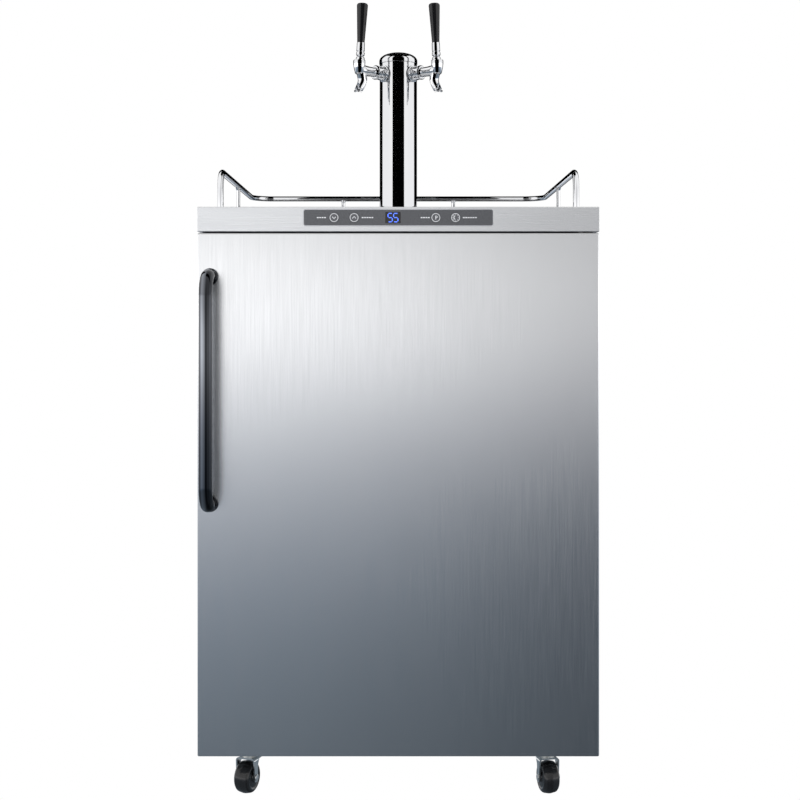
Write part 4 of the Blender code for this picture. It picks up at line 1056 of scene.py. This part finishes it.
def make_gas():
    """The gas cylinder on the step, its valve and handwheel, and a regulator with two gauges."""
    low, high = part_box("co2_cylinder")
    x, y = (low.x + high.x) / 2, (low.y + high.y) / 2
    tank = turned([(0, 0.004, 0), (0.03, 0.0015, 0.004), (0.036, 0, 0.006), (0.044, 0.012, 0.012),
                   (0.044, 0.25, 0.03), (0.0385, 0.276, 0.03), (0.024, 0.293, 0.02), (0.015, 0.298, 0.004),
                   (0.0132, 0.3005, 0.002), (0.0132, 0.31, 0.0008), (0, 0.31, 0)], 96, steps=8)
    piece("gas_cylinder", moved(tank, at(x, y, low.z)), ALUMINIUM, "cabinet", "co2_cylinder")

    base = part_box("cylinder_valve")[0].z
    stem = turned([(0, 0, 0), (0.0125, 0, 0.0005), (0.0125, 0.008, 0.0008), (0.0095, 0.0092, 0.0008),
                   (0.0095, 0.015, 0.001), (0.0104, 0.017, 0.001), (0.0104, 0.03, 0.001),
                   (0.0095, 0.033, 0.001), (0.0095, 0.037, 0.0006), (0.007, 0.0392, 0.0006),
                   (0.007, 0.046, 0.0005), (0, 0.046, 0)], 48, steps=3)
    flats = [box((-0.02, s * 0.0112 - (0.01 if s < 0 else 0), 0.0012),
                 (0.02, s * 0.0112 + (0.01 if s > 0 else 0), 0.007)) for s in (-1, 1)]
    outlet_z = 0.023
    outlet = turned([(0, 0.004, 0), (0.0068, 0.004, 0), (0.0068, 0.0278, 0.0008), (0, 0.0278, 0)], 40, "X",
                    steps=2)
    relief = turned([(0, 0.004, 0), (0.0052, 0.004, 0), (0.0052, 0.0108, 0.0008), (0.003, 0.0118, 0.0004),
                     (0, 0.0118, 0)], 6, "X", steps=2)
    moved(relief, Matrix.Rotation(pi, 4, "Z"))
    body = carve(stem, flats, [])
    parts = merged(body, moved(outlet, at(0, 0, outlet_z)), moved(relief, at(0, 0, outlet_z)))
    piece("valve_body", moved(parts, at(x, y, base)), BRASS, "cabinet", "cylinder_valve")

    wheel_low, wheel_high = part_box("valve_handwheel")
    radius, tall = (wheel_high.x - wheel_low.x) / 2, wheel_high.z - wheel_low.z
    wheel = turned([(0, 0, 0), (radius - 0.004, 0, 0.001), (radius, 0.0035, 0.002), (radius, 0.01, 0.002),
                    (radius - 0.0055, tall - 0.0006, 0.003), (0.006, tall - 0.002, 0.002),
                    (0.0045, tall, 0.0006), (0, tall, 0)], 80, steps=5)
    grips = [moved(rod(0.0022, -0.01, 0.03, 16),
                   at((radius + 0.001) * cos(t), (radius + 0.001) * sin(t), 0))
             for t in (tau * k / 12 for k in range(12))]
    piece("handwheel_cap", moved(softened(carve(wheel, grips), 0.0004, 2, 40), at(x, y, wheel_low.z)),
          BLACK_PLASTIC, "handwheel", "valve_handwheel", sharp=45)

    body_x, body_z = x + 0.06, base + outlet_z
    bonnet = turned([(0, -0.02, 0), (0.012, -0.02, 0.001), (0.0188, -0.016, 0.003), (0.019, -0.002, 0.0005),
                     (0.018, -0.0012, 0.0002), (0.018, 0.0004, 0.0002), (0.019, 0.0012, 0.0005),
                     (0.019, 0.009, 0.003), (0.015, 0.014, 0.002), (0, 0.014, 0)], 72, "Y", steps=4)
    nut = turned([(0.007, -0.0317, 0), (0.0113, -0.0317, 0.0008), (0.0113, -0.0165, 0.0008),
                  (0.007, -0.0165, 0)], 6, "X", steps=2)
    links = [nut, rod(0.0058, -0.017, -0.006, 32, "X"), rod(0.0048, 0.01, 0.027, 32, "X"),
             rod(0.0048, 0.01, 0.027, 32)]
    hexes = [rod(0.0072, 0.019, 0.0225, 6, "X"), rod(0.0072, 0.019, 0.0225, 6)]
    barb = [(0.0042, -0.015), (0.0042, -0.019)]
    for k in range(4):
        z = -0.02 - 0.0034 * k
        barb += [(0.0046, z), (0.0034, z - 0.003)]
    links.append(lathe(barb + [(0.003, -0.0338)], 32))
    piece("regulator_body", moved(merged(bonnet, *links, *hexes), at(body_x, y, body_z)), BRASS, "cabinet",
          "regulator")

    for name, dx, dz, top in (("tank", 0, 0.043, 8), ("line", 0.043, 0, 6)):
        place = at(body_x + dx, y - 0.01, body_z + dz)
        can = turned([(0.0185, 0.0016, 0), (0.0195, 0, 0.0006), (0.0209, 0, 0.0008),
                      (0.0209, 0.006, 0.0008), (0.02, 0.0066, 0.0002), (0.02, 0.0165, 0.0015),
                      (0, 0.0178, 0), (0, 0.003, 0), (0.0185, 0.003, 0)], 80, "Y", steps=4)
        piece(f"{name}_gauge_case", moved(can, place), CHROME, "cabinet")
        dial = lathe([(0, 0.0022), (0.0186, 0.0022), (0.0186, 0.0032), (0, 0.0032)], 64, "Y")
        piece(f"{name}_gauge_dial", moved(dial, place), DIAL, "cabinet")
        marks = []
        for k in range(top * 5 + 1):
            t = radians(-135 + 270 * k / (top * 5))
            inner = 0.014 if k % 5 == 0 else 0.0155
            marks.append(stroke([(inner * sin(t), inner * cos(t)), (0.0168 * sin(t), 0.0168 * cos(t))],
                                0.0006 if k % 5 == 0 else 0.0003, PRINT_THICK))
        piece(f"{name}_gauge_marks", moved(merged(*marks), place @ at(0, 0.0021, 0)), GLOSS_BLACK,
              "cabinet")
        aim = radians(-20 if name == "tank" else -95)
        needle = stroke([(-0.0045 * sin(aim), -0.0045 * cos(aim)), (0.0135 * sin(aim), 0.0135 * cos(aim))],
                        0.0009, 0.0002)
        boss = turned([(0, -0.0004, 0), (0.0014, -0.0004, 0.0002), (0.0014, 0.0004, 0), (0, 0.0004, 0)], 24,
                      "Y", steps=2)
        piece(f"{name}_gauge_needle", moved(merged(needle, boss), place @ at(0, 0.0017, 0)), RED, "cabinet")

    knob_low, knob_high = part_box("regulator_knob")
    deep = knob_high.y - knob_low.y
    knob = turned([(0, 0.0004, 0), (0.0105, 0, 0.0012), (0.013, 0.0014, 0.0012),
                   (0.015, deep - 0.002, 0.0006), (0.015, deep, 0.0004), (0, deep, 0)], 72, "Y", steps=5)
    ribs = [moved(lathe([(0.0011, -0.002), (0.0014, deep - 0.0025)], 12, "Y"),
                  Matrix.Rotation(t, 4, "Y") @ at(0.015, 0, 0, radians(-7)))
            for t in (tau * k / 20 for k in range(20))]
    piece("pressure_knob", moved(carve(knob, ribs), at(body_x, knob_low.y, body_z)), BLACK_PLASTIC,
          "gas_knob", "regulator_knob", sharp=35)


# Machine space and back

def make_compressor():
    low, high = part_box("compressor")
    x, y, base = (low.x + high.x) / 2, 0.27, low.z
    can = turned([(0, 0.0122, 0), (0.044, 0.0182, 0.02), (0.06, 0.036, 0.02), (0.0622, 0.066, 0.004),
                  (0.063, 0.074, 0.0008), (0.063, 0.078, 0.0008), (0.0616, 0.08, 0.001), (0.061, 0.1, 0.02),
                  (0.056, 0.122, 0.03), (0.04, 0.14, 0.03), (0, 0.1488, 0)], 96, steps=8)
    plate = box((-0.085, -0.045, 0.001), (0.085, 0.045, 0.0034), 0.001, 2)
    legs = [moved(turned([(0, 0.003, 0), (0.0085, 0.003, 0), (0.007, 0.03, 0.002), (0, 0.03, 0)],
                         24, steps=3), at(u, v, 0))
            for u, v in corners_2d(0.034, 0.026)]
    cover = box((0.048, -0.024, 0.05), (0.0835, 0.024, 0.108), 0.004, 4)
    piece("compressor_can", moved(merged(can, plate, *legs, cover), at(x, y, base)), ENAMEL, "cabinet",
          "compressor")
    feet = [moved(turned([(0, 0, 0), (0.0095, 0, 0.0008), (0.0095, 0.004, 0.0008), (0.0066, 0.0048, 0.0006),
                          (0.0066, 0.009, 0.001), (0, 0.009, 0)], 28, steps=3), at(x + u, y + v, base))
            for u, v in corners_2d(0.072, 0.032)]
    piece("compressor_grommets", merged(*feet), TREAD, "cabinet")
    suction = [(x, y, base + 0.14), (x, y, 0.2685), (x + 0.02, y, 0.2685)]
    discharge = [(x - 0.03, y, base + 0.132), (x - 0.03, y, 0.256), (x - 0.03, y + 0.02, 0.256)]
    lines = [sweep(bent(suction, 0.009, 8), 0.0032, 20), sweep(bent(discharge, 0.008, 8), 0.0026, 20)]
    piece("refrigerant_lines", merged(*lines), COPPER, "cabinet")


def make_condenser():
    """A tube that winds up the back, between upright wires and straps."""
    low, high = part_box("condenser")
    coil_y, half, radius, passes = (low.y + high.y) / 2, 0.225, 0.0027, 9
    first, last = 0.37, 0.818
    pitch = (last - first) / (passes - 1)
    corners = []
    for k in range(passes):
        ends = (-half, half) if k % 2 == 0 else (half, -half)
        corners += [(u, coil_y, first + k * pitch) for u in ends]
    coil = sweep(bent(corners, pitch / 2 - 0.0005, 10), radius, 14)
    wires = []
    for k in range(49):
        u = -0.192 + 0.008 * k
        wires.append(moved(rod(0.00075, first - 0.0095, last + 0.0095, 6),
                           at(u, coil_y + (0.002 if k % 2 else -0.002), 0)))
    straps = [box((u - 0.008, coil_y - 0.0011, first - 0.01), (u + 0.008, coil_y + 0.0011, last + 0.01),
                  0.0005, 2) for u in (-0.17, 0, 0.17)]
    piece("condenser_coil", merged(coil, *wires, *straps), ENAMEL, "cabinet", "condenser")


def make_back():
    """The rear panel, with a leg down each side of the machine space."""
    low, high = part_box("rear_panel")
    inner, top_z, rim_z = 0.2255, 0.325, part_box("base_pan")[1].z + 0.0005
    outer = 0.2968
    right = [(top_z, inner), (low.z, inner), (low.z, outer), (rim_z, outer), (rim_z, high.x),
             (high.z, high.x)]
    panel = prism(right + [(z, -u) for z, u in reversed(right)], "Y", low.y, high.y)
    piece("back_sheet", softened(panel, 0.0003, 2), ZINC, "cabinet", "rear_panel")
    heads = [screw_head(0.0032, (sign * 0.2915, high.y, z), "Y") for sign in (-1, 1)
             for z in (0.15, 0.3, 0.5, 0.7, 0.878)]
    piece("back_screws", merged(*heads), ZINC, "cabinet")


def make_louvred_cover():
    low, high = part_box("rear_cover")
    half, back, sheet = high.x, low.y + 0.0297, 0.001
    cover = box((-half, low.y, low.z), (half, back, high.z))
    rim = [e for e in cover.edges if not all(v.co.y < low.y + 1e-5 for v in e.verts)]
    bmesh.ops.bevel(cover, geom=rim, offset=0.004, segments=5, profile=0.5, affect="EDGES")
    inside = box((-half + sheet, low.y - 0.02, low.z - 0.02), (half - sheet, back - sheet, high.z - sheet))
    bmesh.ops.bevel(inside, geom=[e for e in inside.edges
                                  if all(v.co.y > back - 0.01 or v.co.z > high.z - 0.01 for v in e.verts)],
                    offset=0.003, segments=4, profile=0.5, affect="EDGES")
    rows = [0.125 + 0.02 * k for k in range(9)] + [0.78 + 0.02 * k for k in range(3)]
    slots, hoods = [], []
    for z in rows:
        for u in (-0.15, 0.15):
            slots.append(prism(rectangle(z, u - 0.105, z + 0.007, u + 0.105, 0.0033, 4), "Y", back - 0.01,
                               back + 0.01))
            arc = arc_points(0.0078, 90, 0, 8)
            hood = [(back + 0.0004 + 0.45 * out, z + 0.0008 + up) for out, up in arc]
            hood += [(p - 0.0008, q) for p, q in reversed(hood)]
            hoods.append(prism(hood, "X", u - 0.1045, u + 0.1045))
    bumps = [box((-0.27, back - 0.0006, z - 0.004), (0.27, back + 0.0012, z + 0.004), 0.0011, 3)
             for z in (0.42, 0.56, 0.7)]
    cover = carve(cover, [inside, merged(*slots)])
    piece("louvred_cover", merged(cover, *hoods, *bumps), ZINC, "cabinet", "rear_cover", sharp=35)
    heads = [screw_head(0.004, (u, back, z), "Y") for u in (-0.272, 0, 0.272) for z in (0.112, 0.5, 0.858)]
    piece("cover_screws", merged(*heads), ZINC, "cabinet")
    gland = turned([(0.0035, -0.002, 0), (0.011, -0.002, 0), (0.011, 0.0012, 0.0008),
                    (0.0085, 0.002, 0.0005), (0.0078, 0.004, 0.0008), (0.0035, 0.004, 0)], 48, "Y", steps=3,
                   ring=True)
    piece("cable_gland", moved(gland, at(-0.235, back, 0.34)), BLACK_PLASTIC, "cabinet")


def make_base_pan():
    low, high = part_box("base_pan")
    wall = 0.0012
    pan = rounded([(high.z, low.x, 0), (low.z, low.x, 0.002), (low.z, high.x, 0.002), (high.z, high.x, 0),
                   (high.z, high.x - wall, 0), (low.z + wall, high.x - wall, 0.001),
                   (low.z + wall, low.x + wall, 0.001), (high.z, low.x + wall, 0)], 4, True)
    piece("base_sheet", prism(pan, "Y", low.y, high.y), ZINC, "cabinet", "base_pan", sharp=30)


def make_hinges():
    pin = Vector(joints["door_hinge"]["pos_m"])
    low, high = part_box("hinge_top")
    leaf_high = low.z + 0.0194
    leaf = prism(rounded([(low.x, low.y, 0.004), (high.x, low.y, 0.007), (high.x, high.y, 0),
                          (low.x, high.y, 0)], 5, True), "Z", leaf_high - 0.0014, leaf_high)
    flange = box((low.x, high.y - 0.0015, leaf_high - 0.0012), (high.x - 0.001, high.y, high.z), 0.0005, 2)
    barrel = turned([(0, low.z, 0), (0.0038, low.z, 0.0008), (0.0038, leaf_high - 0.0005, 0),
                     (0, leaf_high - 0.0005, 0)], 32, steps=3)
    piece("upper_hinge", merged(leaf, flange, moved(barrel, at(pin.x, pin.y, 0))), ZINC, "cabinet",
          "hinge_top")
    heads = [screw_head(0.0034, (u, high.y - 0.0015, 0.88), "Y", True)
             for u in (low.x + 0.007, high.x - 0.009)]
    piece("upper_hinge_screws", merged(*heads), ZINC, "cabinet")

    low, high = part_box("hinge_bottom")
    plate_high = low.z + 0.0019
    leaf = prism(rounded([(low.x, low.y, 0.004), (high.x, low.y, 0.007), (high.x, high.y, 0),
                          (low.x, high.y, 0)], 5, True), "Z", low.z, plate_high)
    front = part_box("cabinet_wrap")[0].y + 0.002
    step_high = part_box("cabinet_wrap")[0].z - 0.0003
    step = box((low.x, front, low.z + 0.0005), (high.x - 0.001, high.y, step_high), 0.0005, 2)
    barrel = turned([(0, low.z + 0.001, 0), (0.0038, low.z + 0.001, 0), (0.0038, high.z, 0.0008),
                     (0, high.z, 0)], 32, steps=3)
    piece("lower_hinge", merged(leaf, step, moved(barrel, at(pin.x, pin.y, 0))), ZINC, "cabinet",
          "hinge_bottom")
    heads = [screw_head(0.0032, (low.x + 0.014, v, low.z), "Z", True)
             for v in (front + 0.008, front + 0.026)]
    piece("lower_hinge_screws", merged(*heads), ZINC, "cabinet")


def make_shafts():
    for side, yaw in TAP_YAWS.items():
        shaft = turned([(0, 0.0505, 0), (0.0038, 0.0505, 0.0004), (0.0038, 0.053, 0.0004),
                        (0.003, 0.0534, 0), (0.003, 0.0735, 0.0004), (0, 0.0735, 0)], 32, "X", steps=2)
        piece(f"{side}_valve_shaft", moved(shaft, at(0, TOWER_Y, TAP_Z, yaw)), BRASS, f"{side}_shaft",
              f"{side}_faucet_shaft")


make_cabinet()
make_liner()
make_keg_plate()
make_evaporator()
make_control_case()
make_fan()
make_gas()
make_compressor()
make_condenser()
make_back()
make_louvred_cover()
make_base_pan()
make_door()
make_hinges()
make_handle()
make_deck()
make_panel()
make_rail()
make_tower()
for tap_side, tap_yaw in TAP_YAWS.items():
    make_tap(tap_side, tap_yaw)
make_shafts()
make_tray()
for corner_name in ("front_left", "front_right", "rear_left", "rear_right"):
    make_caster(corner_name)


for foam_name in ("cabinet_foam", "door_foam"):
    nodes[foam_name].data.materials.clear()
    nodes[foam_name].data.materials.append(FOAM)


# Stage and light

def plane(name, corners, mat):
    mesh = bpy.data.meshes.new(name)
    mesh.from_pydata([tuple(c) for c in corners], [], [(0, 1, 2, 3)])
    mesh.materials.append(mat)
    made = bpy.data.objects.new(name, mesh)
    COLLECTION.objects.link(made)
    return made


def plain(name, colour, light=0.0):
    """A stage colour, part of it given off as light so that the floor stays pale under the object."""
    mat = bpy.data.materials.new(name)
    mat.use_nodes = True
    shader = mat.node_tree.nodes["Principled BSDF"]
    shader.inputs["Base Color"].default_value = (*colour, 1)
    shader.inputs["Roughness"].default_value = 1.0
    shader.inputs["Specular IOR Level"].default_value = 0.0
    shader.inputs["Emission Color"].default_value = (1, 1, 1, 1)
    shader.inputs["Emission Strength"].default_value = light
    return mat


def card(name, corners, colour, light=0.0):
    """A reflector that only shows in reflections."""
    made = plane(name, corners, plain(name, colour, light))
    made.visible_camera = False
    made.visible_diffuse = False
    made.visible_shadow = False
    return made


floor = plane("floor", [(-6, -6, -0.0002), (6, -6, -0.0002), (6, 6, -0.0002), (-6, 6, -0.0002)],
              plain("floor", (0, 0, 0), 1.0))
floor.visible_glossy = False
floor.visible_diffuse = False

# Black flags before, behind and above the tower draw the dark stripes and edges on its polished metal
for flag_name, y, half, low in (("front_flag", FACE_Y + 0.014, 0.2, 0.94), ("rear_flag", 0.4, 0.85, 0.93)):
    corners = [(-half, y, low), (half, y, low), (half, y, low + 0.9), (-half, y, low + 0.9)]
    card(flag_name, corners, (0, 0, 0))
corners = [(-0.42, FACE_Y + 0.014, 1.84), (0.42, FACE_Y + 0.014, 1.84), (0.42, 0.4, 1.84),
           (-0.42, 0.4, 1.84)]
card("overhead_flag", corners, (0, 0, 0))


def area_light(name, place, target, size, power):
    """A softbox that lights matt surfaces only. The world gives the reflections."""
    data = bpy.data.lights.new(name, "AREA")
    data.shape, data.size, data.size_y = "RECTANGLE", size[0], size[1]
    data.energy = power
    made = bpy.data.objects.new(name, data)
    made.location = place
    made.rotation_euler = (Vector(target) - Vector(place)).to_track_quat("-Z", "Y").to_euler()
    made.visible_glossy = False
    COLLECTION.objects.link(made)


area_light("key", (-1.3, -2.6, 1.9), (0, 0, 0.6), (1.2, 1.0), 40)
area_light("left_fill", (-2.4, 0.6, 1.4), (0, 0, 0.6), (1.5, 2.0), 30)
area_light("right_fill", (2.4, 0.6, 1.4), (0, 0, 0.6), (1.5, 2.0), 26)
area_light("top", (0, 0.3, 3.0), (0, 0, 0.9), (2.0, 2.0), 30)

# The world is plain white behind the object. Reflections see a room that is bright at eye level and
# dark towards the floor, with a darker patch ahead and to the right of the door.
world = bpy.data.worlds.new("studio")
bpy.context.scene.world = world
world.use_nodes = True
sky = world.node_tree
split = sky.nodes.new("ShaderNodeSeparateXYZ")
sky.links.new(sky.nodes.new("ShaderNodeTexCoord").outputs["Generated"], split.inputs["Vector"])
# A colour ramp holds no more than 1, so its colours are divided by this and the world is multiplied by it.
BOOST = 2.5


def room_ramp(axis, stops):
    """Colours by one component of the direction, from -1 to 1."""
    place = sky.nodes.new("ShaderNodeMapRange")
    place.inputs["From Min"].default_value = -1
    sky.links.new(split.outputs[axis], place.inputs["Value"])
    shades = sky.nodes.new("ShaderNodeValToRGB")
    elements = shades.color_ramp.elements
    for position, _ in stops[1:-1]:
        elements.new((position + 1) / 2)
    for element, (_, colour) in zip(elements, stops):
        element.color = (*[c / BOOST for c in colour], 1)
    sky.links.new(place.outputs["Result"], shades.inputs["Fac"])
    return shades.outputs["Color"]


LEFT_HEIGHTS = (
    (-1.0, (0.2, 0.24, 0.28)),
    (-0.3, (0.17, 0.205, 0.24)),
    (-0.24, (0.195, 0.245, 0.3)),
    (-0.2, (0.255, 0.31, 0.38)),
    (-0.155, (0.39, 0.445, 0.52)),
    (-0.11, (0.56, 0.61, 0.67)),
    (-0.08, (0.82, 0.85, 0.92)),
    (-0.05, (1.25, 1.26, 1.3)),
    (-0.02, (1.9, 1.9, 1.91)),
    (0.0, (2.2, 2.2, 2.2)),
    (0.03, (2.1, 2.1, 2.1)),
    (0.065, (1.3, 1.3, 1.3)),
    (0.13, (0.95, 0.95, 0.96)),
    (0.3, (1.0, 1.0, 1.0)),
    (1.0, (1.0, 1.0, 1.0)),
)
RIGHT_HEIGHTS = (
    (-1.0, (0.08, 0.095, 0.11)),
    (-0.24, (0.03, 0.04, 0.05)),
    (-0.155, (0.03, 0.04, 0.06)),
    (-0.11, (0.07, 0.09, 0.12)),
    (-0.05, (0.34, 0.35, 0.38)),
    (0.0, (0.74, 0.74, 0.75)),
    (0.03, (0.74, 0.74, 0.75)),
    (0.065, (0.5, 0.5, 0.51)),
    (0.3, (0.6, 0.6, 0.6)),
    (1.0, (1.0, 1.0, 1.0)),
)
RIGHT_PART = (
    (-1.0, (0,) * 3),
    (-0.09, (0,) * 3),
    (0.15, (BOOST,) * 3),
    (0.38, (BOOST,) * 3),
    (0.58, (0,) * 3),
    (1.0, (0,) * 3),
)


def mixed(kind, factor, first, second):
    """Node-tree plumbing for one colour mix. A number stands for itself, and a socket is linked."""
    mix = sky.nodes.new("ShaderNodeMix")
    mix.data_type, mix.blend_type = "RGBA", kind
    for socket, value in ((mix.inputs["Factor"], factor), (mix.inputs["A"], first),
                          (mix.inputs["B"], second)):
        if isinstance(value, bpy.types.NodeSocket):
            sky.links.new(value, socket)
        else:
            socket.default_value = value
    return mix.outputs["Result"]


rays = sky.nodes.new("ShaderNodeLightPath").outputs
room = mixed("MIX", room_ramp("X", RIGHT_PART), room_ramp("Z", LEFT_HEIGHTS), room_ramp("Z", RIGHT_HEIGHTS))
seen = mixed("MIX", rays["Is Camera Ray"], room, (1 / BOOST, 1 / BOOST, 1 / BOOST, 1))
sky.links.new(seen, sky.nodes["Background"].inputs["Color"])
sky.nodes["Background"].inputs["Strength"].default_value = BOOST
